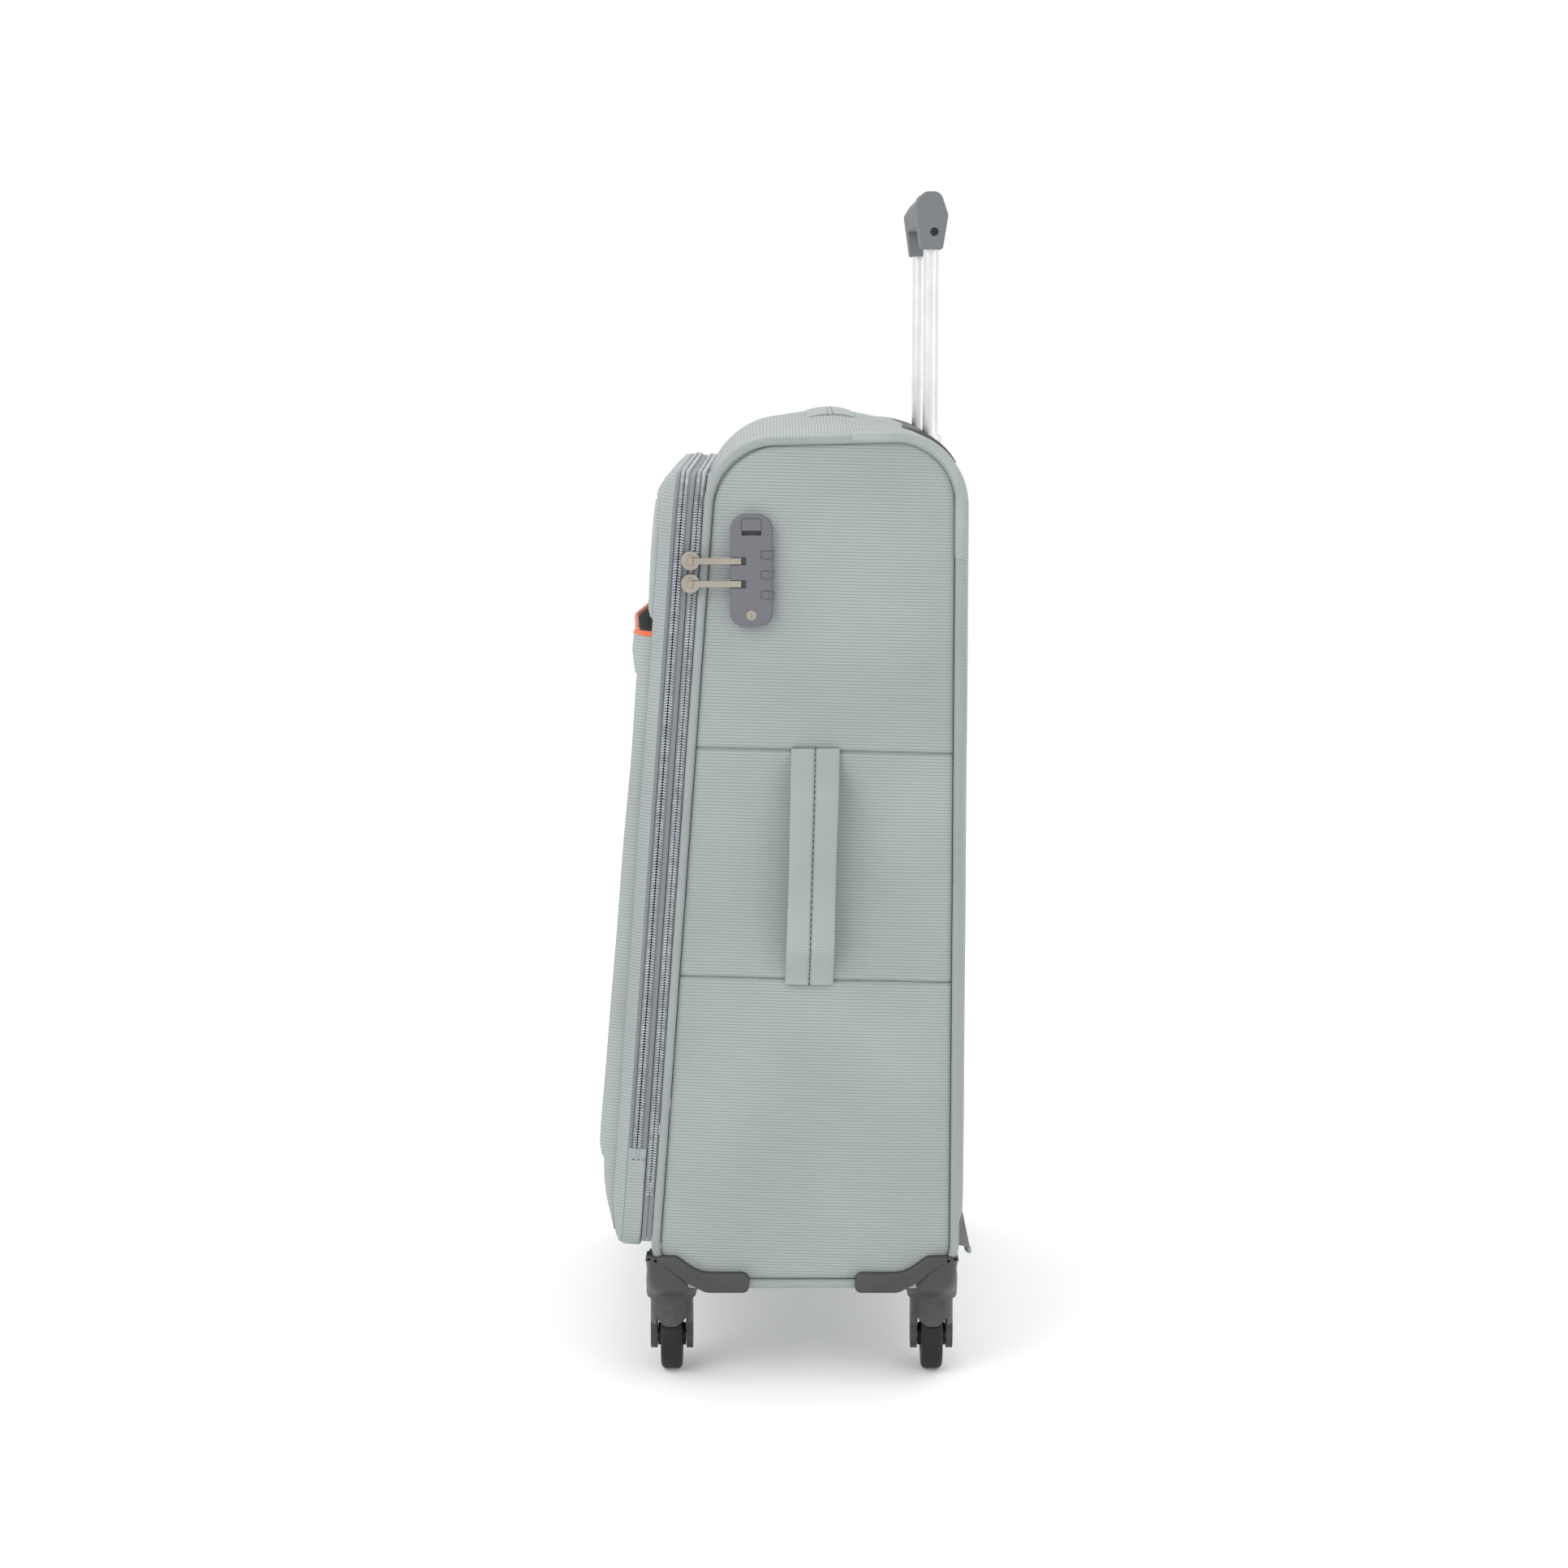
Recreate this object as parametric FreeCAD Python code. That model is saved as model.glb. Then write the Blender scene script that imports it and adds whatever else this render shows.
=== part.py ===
import FreeCAD, Part
import math
import os

# Softside upright case on four swivel casters. Millimetres.
# X is the width, +X the side with the lock and the carry handle, -X the side with the rest feet.
# Y is the depth, -Y the front with the lid and +Y the back with the trolley. Z is up from the floor.
# The origin is on the floor, below the middle of the whole outline.

V = FreeCAD.Vector

# ---- case body ----
CASE_WIDTH = 430.0
CASE_HEIGHT = 598.5
BACK_Y = 127.0
BACK_CROWN = 3.4
FRONT_FOOT_Y = -95.4
FRONT_LEAN = 4.28
TOP_CORNER_R = 48.0
FOOT_CORNER_R = 24.0
TOP_CROWN = 11.0
PANEL_T = 3.0
PIPING_W = 6.0
PIPING_REACH = 6.5
SEAM_GAP = 0.4
LINING_T = 1.0
LINING_GAP = 1.5
BUMPER_T = 1.6
BUMPER_DROP = 86.0
BUMPER_REACH = 83.0

# ---- lid, expander and front pockets, as distances n in front of the case's front plane ----
LID_SIDE_SHY = 2.0
LID_FOOT = 30.0
LID_HEAD_SHY = 27.5
LID_TOP_R = 50.0
LID_FOOT_R = 20.0
LID_WALL = 3.0
RIM_W = 14.0
ZIP_W = 3.2
ZIP_FOOT = 38.0
LID_BAND_W = 4.2
GUSSET_W = 6.0
GUSSET_T = 1.4
EXPANDER_FOOT = 92.0
TRAY_DEPTH = 12.0
TRAY_WALL = 3.0
TRAY_CHIN = 34.0
UPPER_POCKET_T = 3.8
UPPER_POCKET_SHY = 15.0
UPPER_POCKET_H = 86.0
POCKET_DEPTH = 12.2
POCKET_WALL = 2.6
POCKET_FOOT = 64.0
POCKET_BEND = 100.0
POCKET_GAP = 11.0
POCKET_INSET = 10.0
POCKET_CHIN = 4.9
HINGE_STRIP_SHY = 33.0
HINGE_STRIP_T = 1.2

# ---- handles and rest feet ----
HANDLE_W = 34.0
HANDLE_LEN = 160.0
HANDLE_DROP = 218.0
HANDLE_Y = 19.5
HANDLE_T = 5.0
HANDLE_STAND_OFF = 22.0
STRAP_FOOT_SHARE = 0.14
TOP_HANDLE_W = 36.0
TOP_HANDLE_LEN = 190.0
TOP_HANDLE_Y = 33.0
TOP_HANDLE_T = 4.0
TOP_HANDLE_RISE = 11.0
FOOT_R = 11.0
FOOT_TIP_R = 8.5
SIDE_FOOT_RISE = 80.5
SIDE_FOOT_DROP = 78.0
SIDE_FOOT_EDGE = 35.0

# ---- trolley ----
TUBE_X = 95.0
TUBE_INSET = 22.8
TUBE_DEPTH = 10.5
TUBE_WIDTH = 16.0
TUBE_WALL = 1.2
TUBE_PLAY = 0.3
TUBE_LENGTH = 560.0
OUTER_TUBE_FOOT = 80.0
STAGE_STEP = 20.0
TUBE_CORNER_SHARE = 0.42
BRACKET_WALL = 1.2
TROLLEY_OUT = 125.0
GRIP_H = 40.0
GRIP_END = 18.0
GRIP_LEG_LEN = 36.0
GRIP_LEG_DROP = 18.0
GRIP_COVER_H = 11.0
GRIP_NECK = 7.5
GRIP_FRONT_REACH = 11.8
GRIP_REAR_REACH = 11.3
GRIP_FRONT_DROP = 9.5
GRIP_REAR_DROP = 16.5
GRIP_CROWN_FRONT = 6.4
GRIP_CROWN_REAR = 5.8
GRIP_CROWN_R = 7.0
GRIP_SIDE_R = 5.0
GRIP_FOOT_R = 1.5
GRIP_FLOOR = 3.0
TUBE_SEAT = 2.0
BUTTON_LEN = 58.0
BUTTON_W = 11.0
BUTTON_H = 8.0
BUTTON_PROUD = 0.6
BUTTON_PLAY = 0.3
ROD_R = 1.6
ROD_TAIL = 40.0
BEAM_H = 3.0
SPRING_R = 2.6
SPRING_WIRE = 0.5
SCREW_R = 3.0
SCREW_RISE = 12.0
SCREW_OFF = 1.5
SCREW_LEN = 5.0
SCREW_SUNK = 0.8
CROSS_LEN = 3.8
CROSS_W = 0.8
CROSS_DEPTH = 1.4
BEZEL_SIDE = 27.0
BEZEL_T = 2.6
BEZEL_REACH = 43.0

# ---- casters ----
SWIVEL_SIDE = 31.0
SWIVEL_FRONT = 15.4
SWIVEL_REAR = 21.6
TRAIL = 9.0
WHEEL_R = 24.6
WHEEL_W = 15.0
SHOULDER_R = 3.5
HUB_W = 19.6
HUB_R = 8.0
AXLE_R = 3.0
FORK_W = 30.0
PRONG_T = 4.6
ARCH_RISE = 12.4
CROWN_H = 6.8
PRONG_R = 10.0
KINGPIN_R = 4.0
RUN_FIT = 0.05
FORK_GAP = 0.6
DOME_R = 18.0
DOME_TOP_R = 16.0
SHOE_T = 3.0
SHOE_LEN = 70.0
DOME_H = 13.5
SHOE_DROP = 7.5
SHOE_RISE_CORNER = 19.0
SHOE_RISE_TIP = 7.0
SHOE_CORNER_W = 16.0
SHOE_EDGE_SLOPE = 2.0
SHOE_CORNER_R = 12.0
SHOE_ROOF = 3.0
HOOD_R = 6.0
WHEEL_GAP = 2.0
AXLE_SHY = 0.4

# ---- lock and zip sliders ----
LOCK_SETBACK = 35.6
LOCK_LEN = 76.0
LOCK_DROP = 55.0
LOCK_W = 29.0
LOCK_T = 10.5
LOCK_SUNK = 6.0
LOCK_FOOT_R = 9.0
LOCK_TOP_R = 11.0
LOCK_EDGE_R = 2.0
SLOT_GAP = 0.6
DIAL_R = 5.4
DIAL_W = 5.0
DIAL_PITCH = 13.6
DIAL_RISE = 35.0
DIAL_IN = 4.4
DIAL_SHAFT_R = 1.5
DIAL_PLAY = 0.2
DIAL_NOTCH_R = 0.6
DIAL_MARKS = 10
PULL_PITCH = 15.6
PULL_RISE = 36.5
PULL_H = 4.2
PULL_T = 1.6
PULL_PIN_R = 1.0
PULL_EYE_R = 2.4
PULL_PLAY = 0.15
PULL_SHY = 7.0
EAR_R = 1.6
EAR_T = 1.4
EAR_GAP = 0.4
SLIDER_FORWARD = 5.9
SLIDER_R = 6.4
SLIDER_T = 3.6
KEY_R = 3.4
KEY_LEN = 7.0
KEY_PLAY = 0.1
KEY_SLOT_W = 1.0
KEY_SLOT_H = 4.0
KEY_SLOT_DEPTH = 5.0
KEY_RISE = 7.5
RELEASE_W = 13.0
RELEASE_H = 8.0
RELEASE_DROP = 3.0
RELEASE_DEPTH = 4.0
RELEASE_TRAVEL = 3.0

HALF_W = CASE_WIDTH / 2
SIDE_X = HALF_W - LID_SIDE_SHY
LEAN = math.radians(FRONT_LEAN)
FORK_ARCH = WHEEL_R + ARCH_RISE
FORK_TOP = 2 * WHEEL_R + CROWN_H
CASE_BOTTOM = FORK_TOP + DOME_H
CASE_TOP = CASE_BOTTOM + CASE_HEIGHT
SHOE_FLOOR = CASE_BOTTOM - SHOE_DROP
KINGPIN_FOOT = 2 * WHEEL_R + WHEEL_GAP
KINGPIN_TOP = CASE_BOTTOM - SEAM_GAP / 4 - SHOE_ROOF
SWIVEL_X = HALF_W - SWIVEL_SIDE
FRONT_SWIVEL_Y = FRONT_FOOT_Y + SWIVEL_FRONT
REAR_SWIVEL_Y = BACK_Y - SWIVEL_REAR

LID_HALF_W = HALF_W - LID_SIDE_SHY
LID_HEAD = CASE_HEIGHT - LID_HEAD_SHY
ZIP_CASE_N = SEAM_GAP
ZIP_LID_N = ZIP_CASE_N + ZIP_W + SEAM_GAP
BAND_N = ZIP_LID_N + ZIP_W
EXPANDER_LID_N = BAND_N + LID_BAND_W
EXPANDER_FRONT_N = EXPANDER_LID_N + ZIP_W + SEAM_GAP
TRAY_N = EXPANDER_FRONT_N + ZIP_W
TRAY_FACE_N = TRAY_N + TRAY_DEPTH
POCKET_FACE_N = TRAY_FACE_N + POCKET_DEPTH
UPPER_POCKET_HEAD = LID_HEAD - UPPER_POCKET_SHY
UPPER_POCKET_FOOT = UPPER_POCKET_HEAD - UPPER_POCKET_H
POCKET_HEAD = UPPER_POCKET_FOOT - POCKET_GAP

HANDLE_HIGH = CASE_TOP - HANDLE_DROP
HANDLE_LOW = HANDLE_HIGH - HANDLE_LEN
TUBE_Y = BACK_Y - TUBE_INSET
GRIP_FOOT = CASE_TOP + TROLLEY_OUT
GRIP_TOP = GRIP_FOOT + GRIP_H
GRIP_BAR_FOOT = GRIP_FOOT + GRIP_LEG_DROP
GRIP_SPLIT = GRIP_TOP - GRIP_COVER_H
GRIP_CHANNEL = GRIP_BAR_FOOT + GRIP_FLOOR
INNER_TUBE_TOP = GRIP_BAR_FOOT + TUBE_SEAT
GRIP_HALF_LEN = TUBE_X + GRIP_END
BEZEL_HALF_W = TUBE_X + BEZEL_SIDE
BEZEL_FRONT_Y = BACK_Y - BEZEL_REACH

LOCK_HIGH = CASE_TOP - LOCK_DROP
LOCK_LOW = LOCK_HIGH - LOCK_LEN
LOCK_PLANE_Y = FRONT_FOOT_Y + (LOCK_LOW + LOCK_LEN / 2 - CASE_BOTTOM) * math.tan(LEAN)
LOCK_Y = LOCK_PLANE_Y + LOCK_SETBACK
SLIDER_Y = LOCK_PLANE_Y - SLIDER_FORWARD
DIAL_MID_Z = LOCK_LOW + DIAL_RISE
PULL_MID_Z = LOCK_LOW + PULL_RISE
KEY_Z = LOCK_LOW + KEY_RISE


# ---- shape helpers ----
def box(x0, x1, y0, y1, z0, z1):
    return Part.makeBox(x1 - x0, y1 - y0, z1 - z0, V(x0, y0, z0))


def rod(radius, start, end):
    return Part.makeCylinder(radius, (end - start).Length, start, end - start)


def rounded_wire(points, radii):
    """Closed wire through the points, each corner an arc of its own radius; radius 0 keeps it sharp."""
    starts, ends, edges = [], [], []
    for i, corner in enumerate(points):
        before = (points[i - 1] - corner).normalize()
        after = (points[(i + 1) % len(points)] - corner).normalize()
        half = before.getAngle(after) / 2
        reach = radii[i] / math.tan(half)
        starts.append(corner + before * reach)
        ends.append(corner + after * reach)
        if radii[i] > 0:
            bisector = (before + after).normalize()
            middle = corner + bisector * (radii[i] / math.sin(half) - radii[i])
            edges.append(Part.Arc(starts[i], middle, ends[i]).toShape())
        following = points[(i + 1) % len(points)]
        next_radius = radii[(i + 1) % len(points)]
        if next_radius > 0:
            back = (corner - following).normalize()
            ahead = (points[(i + 2) % len(points)] - following).normalize()
            following = following + back * (next_radius / math.tan(back.getAngle(ahead) / 2))
        if (following - ends[i]).Length > 1e-4:
            edges.append(Part.makeLine(ends[i], following))
    return Part.Wire(Part.__sortEdges__(edges))


def inset(points, distance):
    """The counter-clockwise polygon with every side moved inwards by the distance."""
    moved = []
    for i, corner in enumerate(points):
        before = corner - points[i - 1]
        after = points[(i + 1) % len(points)] - corner
        before.normalize()
        after.normalize()
        bisector = V(-before.y - after.y, before.x + after.x, 0)
        bisector.normalize()
        side = V(-after.y, after.x, 0)
        moved.append(corner + bisector * (distance / bisector.dot(side)))
    return moved


def across(points, radii, x0, x1):
    """Prism along X of a (y, z) outline."""
    wire = rounded_wire([V(x0, p[0], p[1]) for p in points], radii)
    return Part.Face(wire).extrude(V(x1 - x0, 0, 0))


def outward(points, radii, n0, n1):
    """Prism along the front plane's normal of an (x, z) outline, before the lean."""
    wire = rounded_wire([V(p[0], -n0, p[1]) for p in points], radii)
    return Part.Face(wire).extrude(V(0, n0 - n1, 0))


def lean(shape):
    """Moves a shape from the upright front frame onto the case's leaning front plane."""
    placed = shape.copy()
    placed.rotate(V(0, 0, 0), V(1, 0, 0), -FRONT_LEAN)
    placed.translate(V(0, FRONT_FOOT_Y, CASE_BOTTOM))
    return placed


def front_y(z):
    """Y of the front plane at a height."""
    return FRONT_FOOT_Y + (z - CASE_BOTTOM) * math.tan(LEAN)


def mirrored(shape):
    return shape.mirror(V(0, 0, 0), V(1, 0, 0))


def group(*solids):
    return Part.makeCompound([s for shape in solids for s in shape.Solids])


def soften(shape, radius, chosen):
    """Fillets the edges that the test picks."""
    edges = [e for e in shape.Edges if chosen(e)]
    return shape.makeFillet(radius, edges)


# ---- case body ----
def case_profile(distance):
    """(y, z) outline of the case seen from the side, moved inwards by the distance."""
    corners = [
        V(FRONT_FOOT_Y, CASE_BOTTOM, 0),
        V(BACK_Y, CASE_BOTTOM, 0),
        V(BACK_Y, CASE_TOP, 0),
        V(front_y(CASE_TOP), CASE_TOP, 0),
    ]
    points = [(p.x, p.y) for p in inset(corners, distance)]
    foot = FOOT_CORNER_R - distance
    top = TOP_CORNER_R - distance
    return points, [foot, foot, top, top]


def case_slab(distance, x0, x1):
    points, radii = case_profile(distance)
    return across(points, radii, x0, x1)


def case_shell():
    half = HALF_W - PIPING_REACH - SEAM_GAP
    outer = case_slab(PIPING_W / 4, -half, half)
    return outer.cut(case_slab(PIPING_W / 4 + PANEL_T, -half, half))


def in_front(n):
    """Everything in front of the plane at distance n, as a big block."""
    return lean(box(-CASE_WIDTH, CASE_WIDTH, -CASE_WIDTH, -n, -CASE_WIDTH, 2 * CASE_HEIGHT))


def base_pan():
    zone = box(-HALF_W, HALF_W, -CASE_HEIGHT, CASE_HEIGHT, 0, CASE_BOTTOM + FOOT_CORNER_R)
    return case_shell().common(zone)


def back_panel():
    low = CASE_BOTTOM + FOOT_CORNER_R + SEAM_GAP
    high = CASE_TOP - TOP_CORNER_R - SEAM_GAP
    half = HALF_W - PIPING_REACH - SEAM_GAP
    face = BACK_Y - PIPING_W / 4
    edge_l = V(-half, face, low)
    edge_r = V(half, face, low)
    crown = Part.Arc(edge_l, V(0, BACK_Y + BACK_CROWN, low), edge_r).toShape()
    inner_r = V(half, face - PANEL_T, low)
    inner_l = V(-half, face - PANEL_T, low)
    sides = [Part.makeLine(edge_r, inner_r), Part.makeLine(inner_r, inner_l), Part.makeLine(inner_l, edge_l)]
    return Part.Face(Part.Wire([crown] + sides)).extrude(V(0, 0, high - low))


def top_crown(rise):
    """Big drum across the top whose upper side is the crowned top face."""
    half = HALF_W - PIPING_REACH
    radius = (half ** 2 + TOP_CROWN ** 2) / (2 * TOP_CROWN)
    centre_z = CASE_TOP - PIPING_W / 4 + TOP_CROWN - radius + rise
    return rod(radius, V(0, -CASE_HEIGHT, centre_z), V(0, CASE_HEIGHT, centre_z))


def top_panel():
    half = HALF_W - PIPING_REACH - SEAM_GAP
    low = CASE_TOP - TOP_CORNER_R
    zone = box(-HALF_W, HALF_W, -CASE_HEIGHT, CASE_HEIGHT, low, 2 * CASE_TOP)
    skin = case_shell().common(zone)
    points = case_profile(PIPING_W / 4)[0]
    flat_front = points[3][0] + TOP_CORNER_R
    flat_rear = BEZEL_FRONT_Y - SEAM_GAP
    floor = CASE_TOP - PIPING_W / 4 - PANEL_T
    pad = box(-half, half, flat_front, flat_rear, floor, CASE_TOP + TOP_CROWN).common(top_crown(0))
    skin = skin.fuse(pad).removeSplitter()
    skin = skin.cut(in_front(-PANEL_T - SEAM_GAP))
    return skin.cut(bezel_block(SEAM_GAP))


def side_panel():
    return case_slab(PIPING_W + SEAM_GAP, SIDE_X - PANEL_T, SIDE_X)


def lock_hollow(shape):
    """Leaves the lock's seat out of a side panel."""
    return shape.cut(lock_block(SIDE_X - LOCK_T, SIDE_X + 1, SEAM_GAP / 2))


def piping_ring():
    ring = case_slab(0, HALF_W - PIPING_REACH, HALF_W)
    return ring.cut(case_slab(PIPING_W, HALF_W - PIPING_REACH, HALF_W))


def bumper_zone(x0, x1):
    return box(x0, x1, BACK_Y - BUMPER_REACH, CASE_HEIGHT, CASE_TOP - BUMPER_DROP, 2 * CASE_TOP)


def corner_bumper():
    """Smooth welt that caps the piping round the rear top corner."""
    outer = case_slab(-BUMPER_T, HALF_W - PIPING_REACH, HALF_W + BUMPER_T)
    outer = outer.cut(case_slab(PIPING_W + BUMPER_T, HALF_W - PIPING_REACH, HALF_W + BUMPER_T))
    outer = outer.cut(case_slab(0, HALF_W - PIPING_REACH, HALF_W))
    return outer.common(bumper_zone(0, CASE_WIDTH)).cut(case_slab(PIPING_W, 0, HALF_W))


def front_outline(distance):
    half = LID_HALF_W - distance
    points = [(-half, LID_FOOT + distance), (half, LID_FOOT + distance)]
    points += [(half, LID_HEAD - distance), (-half, LID_HEAD - distance)]
    foot = LID_FOOT_R - distance
    top = LID_TOP_R - distance
    return points, [foot, foot, top, top]


def front_ring(n0, n1, wall, distance=0.0):
    outer = outward(*front_outline(distance), n0, n1)
    return outer.cut(outward(*front_outline(distance + wall), n0, n1))


def front_frame():
    """Stiff flange round the opening that the main zip is sewn to."""
    half = HALF_W - PIPING_REACH - SEAM_GAP
    ring = front_ring(-PANEL_T, 0, RIM_W, LID_HALF_W - half)
    return lean(ring)


def lining():
    """Thin inner bag, open at the front, with its back ahead of the trolley tubes."""
    half = SIDE_X - PANEL_T - LINING_GAP
    back = TUBE_Y - tube_size(2)[1] / 2 - LINING_GAP
    head = CASE_TOP - PIPING_W / 4 - PANEL_T - LINING_GAP
    foot = CASE_BOTTOM + PIPING_W / 4 + PANEL_T + LINING_GAP
    mouth = RIM_W + LINING_GAP
    corners = [V(front_y(foot) + mouth, foot, 0), V(back, foot, 0)]
    corners += [V(back, head, 0), V(front_y(head) + mouth, head, 0)]
    radii = [FOOT_CORNER_R, FOOT_CORNER_R, FOOT_CORNER_R, TOP_CORNER_R]
    outer = across([(p.x, p.y) for p in corners], radii, -half, half)
    thin = [(p.x, p.y) for p in inset(corners, LINING_T)]
    inner = across(thin, [r - LINING_T for r in radii], LINING_T - half, half - LINING_T)
    return outer.cut(inner).cut(in_front(-mouth - LINING_T))


# ---- lid ----
def zip_half(n0, foot):
    """Tape and coil half: an arch up both sides and over the top."""
    ring = front_ring(n0, n0 + ZIP_W, LID_WALL)
    return lean(ring.cut(box(-CASE_WIDTH, CASE_WIDTH, -CASE_WIDTH, CASE_WIDTH, 0, foot)))


def lid_band():
    return lean(front_ring(BAND_N, BAND_N + LID_BAND_W, LID_WALL + GUSSET_T + SEAM_GAP))


def expander_gusset():
    """Folded expansion fabric behind the expander zip."""
    n0 = EXPANDER_LID_N + SEAM_GAP
    return lean(front_ring(n0, n0 + GUSSET_W, GUSSET_T, LID_WALL + SEAM_GAP))


def tray_side(grow):
    """(n, z) outline of the padded front panel, with its chin cut back at the foot."""
    face = TRAY_FACE_N + grow
    foot = LID_FOOT - grow
    head = LID_HEAD + grow
    chin = TRAY_N + TRAY_DEPTH / 2 + grow
    points = [(-TRAY_N, foot), (-TRAY_N, head), (-face, head), (-face, foot + TRAY_CHIN), (-chin, foot)]
    radii = [0, 0, TRAY_DEPTH / 2, TRAY_CHIN / 2, 0]
    return points, radii


def front_panel():
    outer = outward(*front_outline(0), TRAY_N, TRAY_FACE_N)
    outer = outer.common(across(*tray_side(0), -HALF_W, HALF_W))
    inner = outward(*front_outline(TRAY_WALL), TRAY_N, TRAY_FACE_N - TRAY_WALL)
    inner = inner.common(across(*tray_side(-TRAY_WALL), -HALF_W, HALF_W))
    inner = inner.fuse(outward(*front_outline(TRAY_DEPTH), TRAY_N, TRAY_N + TRAY_WALL))
    return lean(outer.cut(inner))


def upper_pocket():
    half = LID_HALF_W - POCKET_INSET
    points = [(-half, UPPER_POCKET_FOOT), (half, UPPER_POCKET_FOOT)]
    points += [(half, UPPER_POCKET_HEAD), (-half, UPPER_POCKET_HEAD)]
    top = LID_TOP_R - POCKET_INSET
    return lean(outward(points, [0, 0, top, top], TRAY_FACE_N, TRAY_FACE_N + UPPER_POCKET_T))


def pocket_side(wall):
    """(n, z) outline of the lower pocket: straight down to its bend, then back to its foot.
    The hollow, which has a wall, runs past the mouth."""
    face = POCKET_FACE_N - wall
    head = POCKET_HEAD + 4 * wall
    foot = POCKET_FOOT + wall
    chin = TRAY_FACE_N + POCKET_CHIN
    points = [(-TRAY_FACE_N, foot), (-TRAY_FACE_N, head), (-face, head), (-face, POCKET_BEND), (-chin, foot)]
    return points, [0] * len(points)


def lower_pocket():
    """Slip pocket: front wall, sides and foot, open at its mouth."""
    half = LID_HALF_W - POCKET_INSET
    outer = across(*pocket_side(0), -half, half)
    inner = across(*pocket_side(POCKET_WALL), POCKET_WALL - half, half - POCKET_WALL)
    return lean(outer.cut(inner))


def lid_hinge_strip():
    """Fabric hinge along the lid's foot."""
    half = LID_HALF_W - HINGE_STRIP_SHY
    return lean(box(-half, half, -BAND_N, 0, LID_FOOT, LID_FOOT + HINGE_STRIP_T))


# ---- handles and feet ----
def strap_arch(length, rise, thickness, width):
    """Flat strap along X that lifts off in a low arch: feet flat on z = 0, centred on the origin."""
    half = length / 2
    foot = length * STRAP_FOOT_SHARE
    stations = [-half, foot - half, 2 * foot - half, half - 2 * foot, half - foot, half]
    heights = [0, 0, rise - thickness, rise - thickness, 0, 0]
    lower = list(zip(stations, heights))
    upper = [(x, z + thickness) for x, z in reversed(lower)]
    wire = Part.makePolygon([V(x, -width / 2, z) for x, z in lower + upper + lower[:1]])
    return Part.Face(wire).extrude(V(0, width, 0))


def side_handle():
    strap = strap_arch(HANDLE_HIGH - HANDLE_LOW, HANDLE_STAND_OFF, HANDLE_T, HANDLE_W)
    strap.rotate(V(0, 0, 0), V(0, 1, 0), 90)
    strap.translate(V(SIDE_X + SEAM_GAP / 4, HANDLE_Y, (HANDLE_LOW + HANDLE_HIGH) / 2))
    return strap


def top_handle():
    strap = strap_arch(TOP_HANDLE_LEN, TOP_HANDLE_RISE, TOP_HANDLE_T, TOP_HANDLE_W)
    strap.translate(V(0, TOP_HANDLE_Y, CASE_TOP - PIPING_W / 4 + TOP_CROWN + SEAM_GAP / 4))
    return strap


def side_feet():
    tip = -(SIDE_X + HANDLE_STAND_OFF + SEAM_GAP / 4)
    low = CASE_BOTTOM + SIDE_FOOT_RISE
    high = CASE_TOP - SIDE_FOOT_DROP
    front = front_y(high) + SIDE_FOOT_EDGE
    rear = BACK_Y - SIDE_FOOT_EDGE
    places = [(y, z) for y in (front, rear) for z in (low, high)]
    height = -tip - SIDE_X
    axis = V(-1, 0, 0)
    return group(*[Part.makeCone(FOOT_R, FOOT_TIP_R, height, V(-SIDE_X, y, z), axis) for y, z in places])


# ---- trolley ----
def tube_size(stage):
    """(width, depth) of a tube: stage 0 is the innermost, 2 the outermost."""
    grow = 2 * stage * (TUBE_WALL + TUBE_PLAY)
    return TUBE_WIDTH + grow, TUBE_DEPTH + grow


def tube_solid(width, depth, z0, z1):
    corner = TUBE_CORNER_SHARE * depth
    signs = ((-1, -1), (1, -1), (1, 1), (-1, 1))
    points = [V(TUBE_X + a * width / 2, TUBE_Y + b * depth / 2, z0) for a, b in signs]
    wire = rounded_wire(points, [corner] * 4)
    return Part.Face(wire).extrude(V(0, 0, z1 - z0))


def tube_pair(stage, z0, z1):
    width, depth = tube_size(stage)
    tube = tube_solid(width, depth, z0, z1)
    tube = tube.cut(tube_solid(width - 2 * TUBE_WALL, depth - 2 * TUBE_WALL, z0, z1))
    return group(tube, mirrored(tube))


def grip_outline():
    """(y, z) outline of the grip's end, widest below its rounded top."""
    points = [
        (TUBE_Y - GRIP_NECK, GRIP_FOOT),
        (TUBE_Y + GRIP_NECK, GRIP_FOOT),
        (TUBE_Y + GRIP_REAR_REACH, GRIP_TOP - GRIP_REAR_DROP),
        (TUBE_Y + GRIP_CROWN_REAR, GRIP_TOP),
        (TUBE_Y - GRIP_CROWN_FRONT, GRIP_TOP),
        (TUBE_Y - GRIP_FRONT_REACH, GRIP_TOP - GRIP_FRONT_DROP),
    ]
    return points, [GRIP_FOOT_R, GRIP_FOOT_R, GRIP_SIDE_R, GRIP_CROWN_R, GRIP_CROWN_R, GRIP_SIDE_R]


def grip_solid():
    bar = across(*grip_outline(), -GRIP_HALF_LEN, GRIP_HALF_LEN)
    hand = GRIP_HALF_LEN - GRIP_LEG_LEN
    return bar.cut(box(-hand, hand, 0, 2 * TUBE_Y, GRIP_FOOT, GRIP_BAR_FOOT))


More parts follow.
